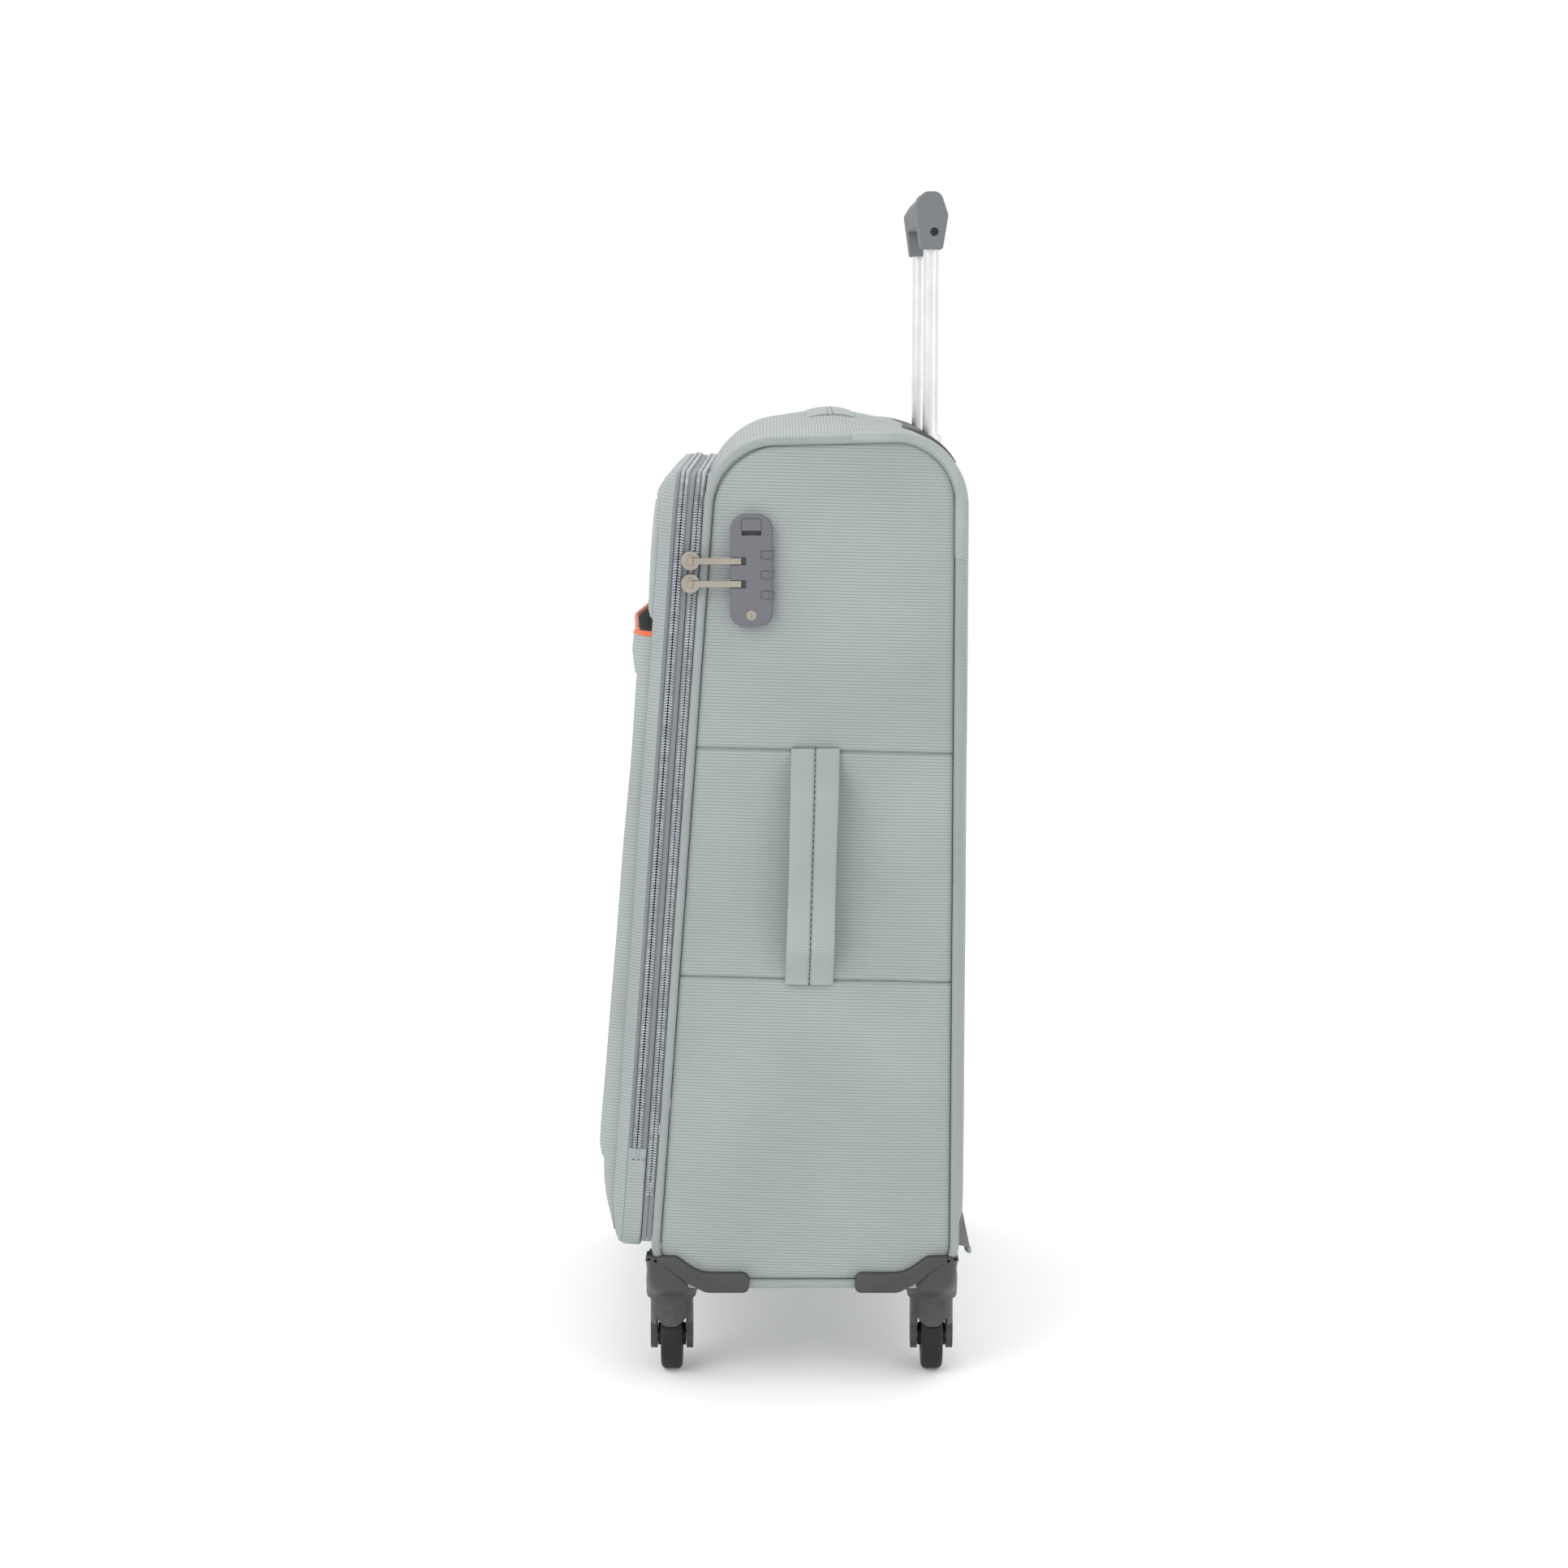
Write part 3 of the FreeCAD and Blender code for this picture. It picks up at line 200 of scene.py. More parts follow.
def loop(corners, radii, step):
    """Closed plane path round the corners, starting half-way along the last side."""
    corners = np.asarray(corners, float)
    middle = (corners[-1] + corners[0]) / 2
    points, along = polyline([middle, *corners, middle], [0, *radii, 0], step)
    return points[:-1], along[:-1]


def outwards(points, closed=False):
    """Unit normals to the right of a plane path, which point outwards on a counter-clockwise loop."""
    ahead = np.roll(points, -1, 0) - np.roll(points, 1, 0) if closed else np.gradient(points, axis=0)
    ahead = unit(ahead)
    return np.stack([ahead[:, 1], -ahead[:, 0]], 1)


def oval(width, height, power=2.0, count=16):
    """Superellipse section: signed cosine and sine, each to the power 2 over p."""
    a = np.linspace(0, 2 * np.pi, count, endpoint=False)
    c, s = np.cos(a), np.sin(a)
    bend = 2 / power
    return np.stack(
        [np.sign(c) * np.abs(c) ** bend * width / 2, np.sign(s) * np.abs(s) ** bend * height / 2], 1
    )


def block(d0, d1, h0, h1, corner=0.6, count=5):
    """Rounded rectangle section between d0 and d1, h0 and h1."""
    corners = [(d0, h0), (d1, h0), (d1, h1), (d0, h1)]
    return loop(corners, [corner] * 4, max((d1 - d0 + h1 - h0) / (2 * count), 0.3))[0]


def lean(x, n, s):
    """Front-plane coordinates to the row frame: the plane's foot plus s along it plus n along its normal."""
    y = FRONT_FOOT + s * math.sin(LEAN) - n * math.cos(LEAN)
    z = CASE_FOOT + s * math.cos(LEAN) + n * math.sin(LEAN)
    return np.stack(np.broadcast_arrays(x, y, z), -1)


def on_front(a, b, h):
    return lean(a, h, b)


def on_side(a, b, h):
    return np.stack(np.broadcast_arrays(h, a, b), -1)


def on_floor(a, b, h):
    return np.stack(np.broadcast_arrays(a, b, h), -1)


def carried(path, out, section, place):
    """Section points (d outwards, h across) carried along a plane path: place(path + d times out, h)."""
    section = np.broadcast_to(section, (len(path), *np.shape(section)[-2:]))
    spots = path[:, None, :] + out[:, None, :] * section[..., 0:1]
    return place(spots[..., 0], spots[..., 1], section[..., 1])


def case_corners(front=0.0, foot=0.0, back=0.0, head=0.0):
    """(y, z) corners of the case seen from the side, each side moved inwards by its own distance."""
    z = np.array([CASE_FOOT + foot, CASE_HEAD - head - TOP_FALL])
    y = FRONT_FOOT + (z - CASE_FOOT) * math.tan(LEAN) + front / math.cos(LEAN)
    return [(y[0], z[0]), (CASE_BACK - back, z[0]), (CASE_BACK - back, CASE_HEAD - head), (y[1], z[1])]


def case_loop(step, inset, back=None):
    back = inset if back is None else back
    radii = [FOOT_R - inset, FOOT_R - inset, TOP_R - inset, FRONT_TOP_R - inset]
    return loop(case_corners(inset, inset, back, inset), radii, step)


def arch(foot, step):
    """(x, s) path up one side of the lid's outline, over its head and down the other side."""
    half, head, radius = LID_HALF, LID_HEAD, LID_TOP_R
    return polyline(
        [(half, foot), (half, head), (-half, head), (-half, foot)], [0, radius, radius, 0], step
    )[0]


def cradle(top, step):
    """(x, s) path down one side of the lid's outline, along its foot and up the other side."""
    half, foot, radius = LID_HALF, LID_FOOT, LID_FOOT_R
    return polyline(
        [(-half, top), (-half, foot), (half, foot), (half, top)], [0, radius, radius, 0], step
    )[0]


def lid_loop(step):
    """(x, s) path round the lid's whole outline."""
    corners = [(-LID_HALF, LID_FOOT), (LID_HALF, LID_FOOT), (LID_HALF, LID_HEAD), (-LID_HALF, LID_HEAD)]
    return loop(corners, [LID_FOOT_R, LID_FOOT_R, LID_TOP_R, LID_TOP_R], step)[0]


def lid_depth(x, s, inset=0.0):
    """Distance inside the lid's outline: signed distance to a rounded rectangle, corner radius by half."""
    centre, half_s = (LID_FOOT + LID_HEAD) / 2, (LID_HEAD - LID_FOOT) / 2 - inset
    radius = np.where(s > centre, LID_TOP_R, LID_FOOT_R) - inset
    qx = np.abs(x) - (LID_HALF - inset - radius)
    qs = np.abs(s - centre) - (half_s - radius)
    corner = np.hypot(np.maximum(qx, 0), np.maximum(qs, 0))
    return radius - corner - np.minimum(np.maximum(qx, qs), 0)


def lid_half_at(s, inset=0.0):
    """Half the width of the lid's outline at height s."""
    half, top_r, foot_r = LID_HALF - inset, LID_TOP_R - inset, LID_FOOT_R - inset
    over = np.clip(s - (LID_HEAD - LID_TOP_R), 0, top_r)
    under = np.clip(LID_FOOT + LID_FOOT_R - s, 0, foot_r)
    return half - (top_r - np.sqrt(top_r**2 - over**2)) - (foot_r - np.sqrt(foot_r**2 - under**2))


def graded(start, end, pitch, fine=0.4, spots=()):
    """Values from start to end that crowd together at both ends and round the given spots."""
    ramp = fine * (1.28 ** np.arange(20) - 1) / 0.28
    ramp = ramp[ramp < min(40, (end - start) / 2)]
    values = [np.linspace(start, end, max(int((end - start) / pitch), 2)), start + ramp, end - ramp]
    for spot in spots:
        values.append(spot + np.array([-6, -3.5, -2.2, -1.4, -0.8, -0.35, 0, 0.35, 0.8, 1.4, 2.2, 3.5, 6]))
    values = np.unique(np.round(np.concatenate(values), 3))
    values = values[(values >= start) & (values <= end)]
    keep = np.concatenate([[True], np.diff(values) > 0.25])
    keep[-1] = True
    return values[keep]


def rounding(depth, radius, power=2.4):
    """Height of a rounded edge, 0 at the edge to 1 at the radius: a quarter superellipse."""
    e = np.clip(depth / radius, 0, 1)
    return (1 - (1 - e) ** power) ** (1 / power)


# ---- meshes ----
class Surface:
    """Vertices, faces, UVs in millimetres and finish numbers of one piece, gathered grid by grid."""

    def __init__(self):
        self.points, self.faces, self.uvs, self.finishes, self.count = [], [], [], [], 0

    def add(self, points, faces, uv, finish):
        self.points.append(points.reshape(-1, 3))
        self.faces.extend((np.asarray(faces) + self.count).tolist())
        self.uvs.append(uv.reshape(-1, 2))
        self.finishes.append(np.full(len(faces), finish))
        self.count += points.size // 3

    def grid(self, points, uv=None, close_u=False, close_v=False, caps=False, finish=0):
        """Quads over a grid of points. UVs default to lengths measured along the grid's two directions."""
        rows, columns = points.shape[:2]
        wide = np.concatenate([points, points[:, :1]], 1) if close_v else points
        wide = np.concatenate([wide, wide[:1]], 0) if close_u else wide
        if uv is None:
            across_v = np.linalg.norm(np.diff(wide, axis=1), axis=-1)
            along_u = np.linalg.norm(np.diff(wide, axis=0), axis=-1).mean(1)
            v = np.concatenate([np.zeros((len(wide), 1)), np.cumsum(across_v, 1)], 1)
            u = np.concatenate([[0], np.cumsum(along_u)])
            uv = np.stack([v, np.broadcast_to(u[:, None], v.shape)], -1)
        index = np.arange(rows * columns).reshape(rows, columns)
        index = np.concatenate([index, index[:, :1]], 1) if close_v else index
        index = np.concatenate([index, index[:1]], 0) if close_u else index
        faces = np.stack(
            [index[:-1, :-1], index[1:, :-1], index[1:, 1:], index[:-1, 1:]], -1
        ).reshape(-1, 4)
        corners = np.stack([uv[:-1, :-1], uv[1:, :-1], uv[1:, 1:], uv[:-1, 1:]], -2)
        self.add(points, faces, corners, finish)
        if caps:
            for end, rim in ((0, points[0]), (-1, points[-1])):
                ring = np.arange(columns)[None, :]
                flat = uv[end, :columns]
                self.add(rim, ring if end == 0 else ring[:, ::-1], flat if end == 0 else flat[::-1], finish)

    def slab(self, outer, inner, uv=None, finish=0, lining=None):
        """Closed panel: the outer grid, the inner grid turned over, and strips round the rim."""
        lining = finish if lining is None else lining
        self.grid(outer, uv, finish=finish)
        self.grid(inner[:, ::-1], None if uv is None else uv[:, ::-1], finish=lining)
        for a, b in ((outer[0], inner[0]), (inner[-1], outer[-1])):
            self.grid(np.stack([a, b]), finish=finish)
        for a, b in ((outer[:, 0], inner[:, 0]), (inner[:, -1], outer[:, -1])):
            self.grid(np.stack([a, b]), finish=finish)

    def boss(self, outline, levels, place, finish=0):
        """Solid whose outline steps inwards level by level: rings at (inset, height) with flat ends."""
        out = outwards(outline, closed=True)
        rings = np.stack(
            [place(*(outline - out * inset).T, np.full(len(outline), h)) for inset, h in levels]
        )
        self.grid(rings, close_v=True, caps=True, finish=finish)

    def beads(self, origins, along, side, up, length, width, height, finish=0):
        """One small rounded bar per origin: rings of an ellipsoid whose poles lie along its length."""
        a = np.linspace(0, 2 * np.pi, 6, endpoint=False)
        stations = np.array([-0.92, -0.45, 0.45, 0.92])
        reach = np.array([0.45, 1.0, 1.0, 0.45])
        ring = np.stack(
            [
                np.repeat(stations, 6) * length / 2,
                np.outer(reach, np.cos(a)).ravel() * width / 2,
                np.outer(reach, np.sin(a)).ravel() * height / 2,
            ],
            1,
        )
        index = np.arange(24).reshape(4, 6)
        wrap = np.concatenate([index, index[:, :1]], 1)
        quads = np.stack([wrap[:-1, :-1], wrap[:-1, 1:], wrap[1:, 1:], wrap[1:, :-1]], -1).reshape(-1, 4)
        ends = np.array([[0, 5, 2, 1], [2, 5, 4, 3], [18, 19, 20, 23], [20, 21, 22, 23]])
        template = np.concatenate([quads, ends])
        basis = np.stack([along, side, up], 1)
        points = origins[:, None, :] + np.einsum("vk,tkc->tvc", ring, basis)
        faces = (np.arange(len(origins))[:, None, None] * 24 + template[None]).reshape(-1, 4)
        self.add(points, faces, np.zeros((faces.size, 2)), finish)

    def mirrored(self):
        """The same surface on the other side of the case, turned the right way out."""
        other = Surface()
        other.points = [p * (-1, 1, 1) for p in self.points]
        other.faces = [face[::-1] for face in self.faces]
        other.uvs = []
        flat, start = np.concatenate(self.uvs), 0
        for face in self.faces:
            other.uvs.append(flat[start : start + len(face)][::-1])
            start += len(face)
        other.finishes, other.count = list(self.finishes), self.count
        return other


def make(name, surface, finishes, body, nodes=()):
    """Mesh object from a surface, scaled to metres, riding on a body and standing for its CAD nodes."""
    mesh = bpy.data.meshes.new(name)
    mesh.from_pydata(np.concatenate(surface.points) * MM, [], surface.faces)
    layer = mesh.uv_layers.new(name="UVMap")
    layer.uv.foreach_set("vector", np.concatenate(surface.uvs).astype(np.float32).ravel())
    for material in finishes:
        mesh.materials.append(material)
    mesh.polygons.foreach_set("material_index", np.concatenate(surface.finishes).astype(np.int32))
    bm = bmesh.new()
    bm.from_mesh(mesh)
    bmesh.ops.remove_doubles(bm, verts=bm.verts, dist=WELD)
    bmesh.ops.recalc_face_normals(bm, faces=bm.faces)
    bm.to_mesh(mesh)
    bm.free()
    mesh.shade_smooth()
    mesh.set_sharp_from_angle(angle=SHARP_ANGLE)
    piece = bpy.data.objects.new(name, mesh)
    bpy.context.scene.collection.objects.link(piece)
    if isinstance(body, str):
        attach(piece, body)
    else:
        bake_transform(piece)
    if nodes:
        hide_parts(*nodes)
    return piece


def swell(width, height, seams, cell=7.0):
    """Field of a cloth rectangle sewn down at its rim and seams and blown out, 1 at its highest point.

    Returns a function of (u, v) from 0 to 1."""
    columns, rows = int(width / cell) + 1, int(height / cell) + 1
    u, v = np.meshgrid(np.linspace(0, 1, columns), np.linspace(0, 1, rows))
    lines = [0.0, *sorted(seams), 1.0]
    rise = blown(u * width, v * height, sewn=(u == 0) | (u == 1) | near(v, lines, 0.5 / rows))
    rise = rise / max(rise.max(), 1e-6)

    def sample(at_u, at_v):
        x, y = at_u * (columns - 1), at_v * (rows - 1)
        i, j = np.clip(x.astype(int), 0, columns - 2), np.clip(y.astype(int), 0, rows - 2)
        fx, fy = x - i, y - j
        top = rise[j + 1, i] * (1 - fx) + rise[j + 1, i + 1] * fx
        return (rise[j, i] * (1 - fx) + rise[j, i + 1] * fx) * (1 - fy) + top * fy

    return sample


def near(values, lines, reach):
    return np.abs(values[..., None] - np.array(lines)).min(-1) <= reach


def blown(x, y, sewn):
    """Height of a cloth grid after 20 frames of pressure with the sewn points held, gravity off."""
    rows, columns = x.shape
    index = np.arange(x.size).reshape(rows, columns)
    quads = np.stack([index[:-1, :-1], index[:-1, 1:], index[1:, 1:], index[1:, :-1]], -1).reshape(-1, 4)
    mesh = bpy.data.meshes.new("blown")
    mesh.from_pydata(np.stack([x.ravel(), y.ravel(), np.zeros(x.size)], 1) * MM, [], quads.tolist())
    sheet = bpy.data.objects.new("blown", mesh)
    bpy.context.scene.collection.objects.link(sheet)
    held = sheet.vertex_groups.new(name="sewn")
    held.add(np.flatnonzero(sewn.ravel()).tolist(), 1.0, "REPLACE")
    cloth = sheet.modifiers.new("Cloth", "CLOTH").settings
    cloth.vertex_group_mass = "sewn"
    cloth.use_pressure = True
    cloth.uniform_pressure_force = 4.0
    cloth.shrink_min = -0.015
    cloth.bending_stiffness = 0.2
    cloth.effector_weights.gravity = 0.0
    scene = bpy.context.scene
    for number in range(1, 21):
        scene.frame_set(number)
    done = sheet.evaluated_get(bpy.context.evaluated_depsgraph_get()).to_mesh()
    points = np.empty(len(done.vertices) * 3, np.float32)
    done.vertices.foreach_get("co", points)
    bpy.data.objects.remove(sheet)
    scene.frame_set(1)
    return np.maximum(points.reshape(-1, 3)[:, 2].reshape(rows, columns), 0)


# ---- node helpers ----
class Nodes:
    """A node tree with short calls for adding nodes and linking them."""

    def __init__(self, tree):
        self.tree = tree

    def add(self, kind, inputs=None, **settings):
        node = self.tree.nodes.new(kind)
        for name, value in settings.items():
            setattr(node, name, value)
        for key, value in (inputs or {}).items():
            if isinstance(value, bpy.types.NodeSocket):
                self.tree.links.new(value, node.inputs[key])
            else:
                node.inputs[key].default_value = value
        return node

    def math(self, operation, a, b=0.0):
        return self.add("ShaderNodeMath", {0: a, 1: b}, operation=operation).outputs[0]

    def mix(self, factor, a, b):
        node = self.add("ShaderNodeMix", {0: factor, 6: a, 7: b}, data_type="RGBA")
        return node.outputs[2]

    def ramp(self, value, start, end, to_start=0.0, to_end=1.0):
        node = self.add("ShaderNodeMapRange", {0: value, 1: start, 2: end, 3: to_start, 4: to_end})
        return node.outputs[0]

    def group(self, name, **inputs):
        node = self.add("ShaderNodeGroup", node_tree=bpy.data.node_groups[name])
        for key, value in inputs.items():
            key = key.replace("_", " ")
            if isinstance(value, bpy.types.NodeSocket):
                self.tree.links.new(value, node.inputs[key])
            else:
                node.inputs[key].default_value = value
        return node.outputs


def new_group(name, inputs, outputs):
    """Empty shader group with named sockets, ready for its nodes."""
    tree = bpy.data.node_groups.new(name, "ShaderNodeTree")
    for socket, kind, value in inputs:
        made = tree.interface.new_socket(socket, in_out="INPUT", socket_type=kind)
        if value is not None:
            made.default_value = value
    for socket in outputs:
        tree.interface.new_socket(socket, in_out="OUTPUT", socket_type="NodeSocketFloat")
    nodes = Nodes(tree)
    return nodes, nodes.add("NodeGroupInput").outputs, nodes.add("NodeGroupOutput").inputs


def rib_group():
    """Ribbed weave: half-round ribs across V, split into yarns along U that shift by half from rib to rib."""
    vector, number = "NodeSocketVector", "NodeSocketFloat"
    inputs = [
        ("Vector", vector, None), ("Rib", number, 2.2), ("Yarn", number, 1.3), ("Wobble", number, 0.15)
    ]
    nodes, given, out = new_group("RibbedWeave", inputs, ["Height", "Crest"])
    noise = nodes.add("ShaderNodeTexNoise", {"Vector": given["Vector"], "Scale": 0.09, "Detail": 2.0})
    shift = nodes.math("MULTIPLY", nodes.math("SUBTRACT", noise.outputs[0], 0.5), given["Wobble"])
    split = nodes.add("ShaderNodeSeparateXYZ", {0: given["Vector"]}).outputs
    rib = nodes.math("ADD", nodes.math("DIVIDE", split[1], given["Rib"]), shift)
    centred = nodes.math("MULTIPLY", nodes.math("SUBTRACT", nodes.math("FRACT", rib), 0.5), 2.0)
    crest = nodes.math("SQRT", nodes.math("SUBTRACT", 1.0, nodes.math("MULTIPLY", centred, centred)))
    row = nodes.math("MULTIPLY", nodes.math("FLOOR", rib), 0.5)
    yarn = nodes.math("ADD", nodes.math("DIVIDE", split[0], given["Yarn"]), row)
    wave = nodes.math("SINE", nodes.math("MULTIPLY", yarn, 2 * math.pi))
    lump = nodes.math("MULTIPLY", nodes.math("MULTIPLY", wave, crest), 0.16)
    nodes.tree.links.new(nodes.math("ADD", crest, lump), out["Height"])
    nodes.tree.links.new(crest, out["Crest"])


def twill_group():
    """Fine diagonal twill: a sine across the slanted direction U plus V, crossed by a weaker one."""
    inputs = [("Vector", "NodeSocketVector", None), ("Pitch", "NodeSocketFloat", 0.9)]
    nodes, given, out = new_group("FineTwill", inputs, ["Height"])
    split = nodes.add("ShaderNodeSeparateXYZ", {0: given["Vector"]}).outputs
    turns = nodes.math("DIVIDE", 2 * math.pi, given["Pitch"])
    first = nodes.math("SINE", nodes.math("MULTIPLY", nodes.math("ADD", split[0], split[1]), turns))
    second = nodes.math("SINE", nodes.math("MULTIPLY", nodes.math("SUBTRACT", split[0], split[1]), turns))
    total = nodes.math("ADD", first, nodes.math("MULTIPLY", second, 0.5))
    nodes.tree.links.new(nodes.ramp(total, -1.5, 1.5), out["Height"])


def grain_group():
    """Moulded grain: small pebbles from a cell pattern, and a broad mottle from soft noise."""
    inputs = [("Vector", "NodeSocketVector", None), ("Scale", "NodeSocketFloat", 900.0)]
    nodes, given, out = new_group("MouldedGrain", inputs, ["Height", "Mottle"])
    cells = nodes.add("ShaderNodeTexVoronoi", {"Vector": given["Vector"], "Scale": given["Scale"]})
    broad = nodes.add("ShaderNodeTexNoise", {"Vector": given["Vector"], "Scale": 30.0, "Detail": 4.0})
    nodes.tree.links.new(cells.outputs["Distance"], out["Height"])
    nodes.tree.links.new(nodes.ramp(broad.outputs[0], 0.3, 0.7), out["Mottle"])


def edge_highlight_group():
    """Painted edge highlight: where the surface turns sharply outwards, broken up by noise."""
    inputs = [("Vector", "NodeSocketVector", None), ("Amount", "NodeSocketFloat", 0.5)]
    nodes, given, out = new_group("PaintedEdgeHighlight", inputs, ["Mask"])
    turned = nodes.add("ShaderNodeNewGeometry").outputs["Pointiness"]
    edge = nodes.ramp(turned, 0.52, 0.60)
    noise = nodes.add("ShaderNodeTexNoise", {"Vector": given["Vector"], "Scale": 180.0, "Detail": 5.0})
    broken = nodes.ramp(noise.outputs[0], 0.35, 0.65)
    mask = nodes.math("MULTIPLY", nodes.math("MULTIPLY", edge, broken), given["Amount"])
    nodes.tree.links.new(mask, out["Mask"])


def new_finish(name, **constants):
    """Material with a Principled shader whose constant sockets are set directly."""
    material = bpy.data.materials.new(name)
    material.use_nodes = True
    nodes = Nodes(material.node_tree)
    shader = material.node_tree.nodes["Principled BSDF"]
    for key, value in constants.items():
        shader.inputs[key.replace("_", " ")].default_value = value
    place = nodes.add("ShaderNodeTexCoord").outputs
    return material, nodes, shader, place


def tinted(base, factor):
    return (base[0] * factor, base[1] * factor, base[2] * factor, 1.0)


def bump(nodes, shader, height, strength, distance):
    made = nodes.add("ShaderNodeBump", {"Height": height, "Strength": strength, "Distance": distance})
    nodes.tree.links.new(made.outputs[0], shader.inputs["Normal"])


def ribbed_finish(name, base, rib, yarn, depth=0.00035, groove=0.66):
    """Ribbed shell cloth: painted shade darkens the grooves to groove times the base colour, with a slow
    random change of tone and a little sheen.
    """
    material, nodes, shader, place = new_finish(
        name, Roughness=0.82, Sheen_Weight=0.15, Sheen_Roughness=0.5
    )
    weave = nodes.group("RibbedWeave", Vector=place["UV"], Rib=rib, Yarn=yarn)
    cloud = nodes.add("ShaderNodeTexNoise", {"Vector": place["Object"], "Scale": 9.0, "Detail": 3.0})
    shade = nodes.mix(nodes.ramp(cloud.outputs[0], 0.35, 0.65), tinted(base, 0.94), tinted(base, 1.05))
    # Painted shade: the groove colour is the base darkened by the groove factor, with the same slow change of
    # tone.
    dark = nodes.mix(
        nodes.ramp(cloud.outputs[0], 0.35, 0.65), tinted(base, 0.94 * groove), tinted(base, groove)
    )
    # Painted shade in the grooves: the colour runs from the crest colour down to the groove colour as the rib
    # falls away.
    body = nodes.mix(nodes.ramp(weave["Crest"], 0.25, 0.85), dark, shade)
    nodes.tree.links.new(body, shader.inputs["Base Color"])
    bump(nodes, shader, weave["Height"], 0.55, depth)
    return material


def twill_finish(name, base, pitch=0.9, roughness=0.75, sheen=0.2, depth=0.00012):
    """Plain or twill cloth with fine diagonal lines, whose low parts are painted darker as shade."""
    material, nodes, shader, place = new_finish(name, Sheen_Weight=sheen)
    weave = nodes.group("FineTwill", Vector=place["UV"], Pitch=pitch)
    cloud = nodes.add("ShaderNodeTexNoise", {"Vector": place["Object"], "Scale": 25.0, "Detail": 4.0})
    soft = nodes.mix(nodes.ramp(cloud.outputs[0], 0.3, 0.7), tinted(base, 0.9), tinted(base, 1.08))
    # Painted shade: where the weave is low the colour falls to 0.74 times the base.
    body = nodes.mix(weave["Height"], tinted(base, 0.74), soft)
    nodes.tree.links.new(body, shader.inputs["Base Color"])
    nodes.tree.links.new(
        nodes.ramp(cloud.outputs[0], 0.3, 0.7, roughness - 0.06, roughness + 0.06),
        shader.inputs["Roughness"]
    )
    bump(nodes, shader, weave["Height"], 0.5, depth)
    return material


def moulded_finish(name, base, roughness, grain=900.0, depth=0.00004, edge_highlight=0.35, **constants):
    """Moulded plastic or rubber: pebbled grain, faint mottle, and convex edges painted lighter as a highlight
    and made smoother.
    """
    material, nodes, shader, place = new_finish(name, **constants)
    skin = nodes.group("MouldedGrain", Vector=place["Object"], Scale=grain)
    # Mask of the painted edge highlight, scaled by its amount.
    highlight_mask = nodes.group("PaintedEdgeHighlight", Vector=place["Object"], Amount=edge_highlight)["Mask"]
    body = nodes.mix(skin["Mottle"], tinted(base, 0.92), tinted(base, 1.08))
    # Painted highlight: convex edges lifted towards 1.9 times the base colour.
    body = nodes.mix(highlight_mask, body, tinted(base, 1.9))
    nodes.tree.links.new(body, shader.inputs["Base Color"])
    rough = nodes.ramp(skin["Mottle"], 0.0, 1.0, roughness - 0.04, roughness + 0.04)
    # The highlighted edges are also made smoother.
    rough = nodes.math("SUBTRACT", rough, nodes.math("MULTIPLY", highlight_mask, 0.12))
    nodes.tree.links.new(rough, shader.inputs["Roughness"])
    bump(nodes, shader, skin["Height"], 0.35, depth)
    return material


def metal_finish(name, base, roughness, stretch=(1.0, 1.0, 1.0)):
    """Metal with fine drawn lines along its long direction and a faint cloud in the gloss."""
    material, nodes, shader, place = new_finish(name, Metallic=1.0)
    drawn = nodes.add("ShaderNodeMapping", {"Vector": place["Object"], "Scale": stretch})
    lines = nodes.add("ShaderNodeTexNoise", {"Vector": drawn.outputs[0], "Scale": 700.0, "Detail": 3.0})
    cloud = nodes.add("ShaderNodeTexNoise", {"Vector": place["Object"], "Scale": 40.0, "Detail": 3.0})
    body = nodes.mix(nodes.ramp(cloud.outputs[0], 0.35, 0.65), tinted(base, 0.93), tinted(base, 1.04))
    nodes.tree.links.new(body, shader.inputs["Base Color"])
    nodes.tree.links.new(
        nodes.ramp(lines.outputs[0], 0.3, 0.7, roughness - 0.05, roughness + 0.08),
        shader.inputs["Roughness"]
    )
    bump(nodes, shader, lines.outputs[0], 0.12, 0.00003)
    return material


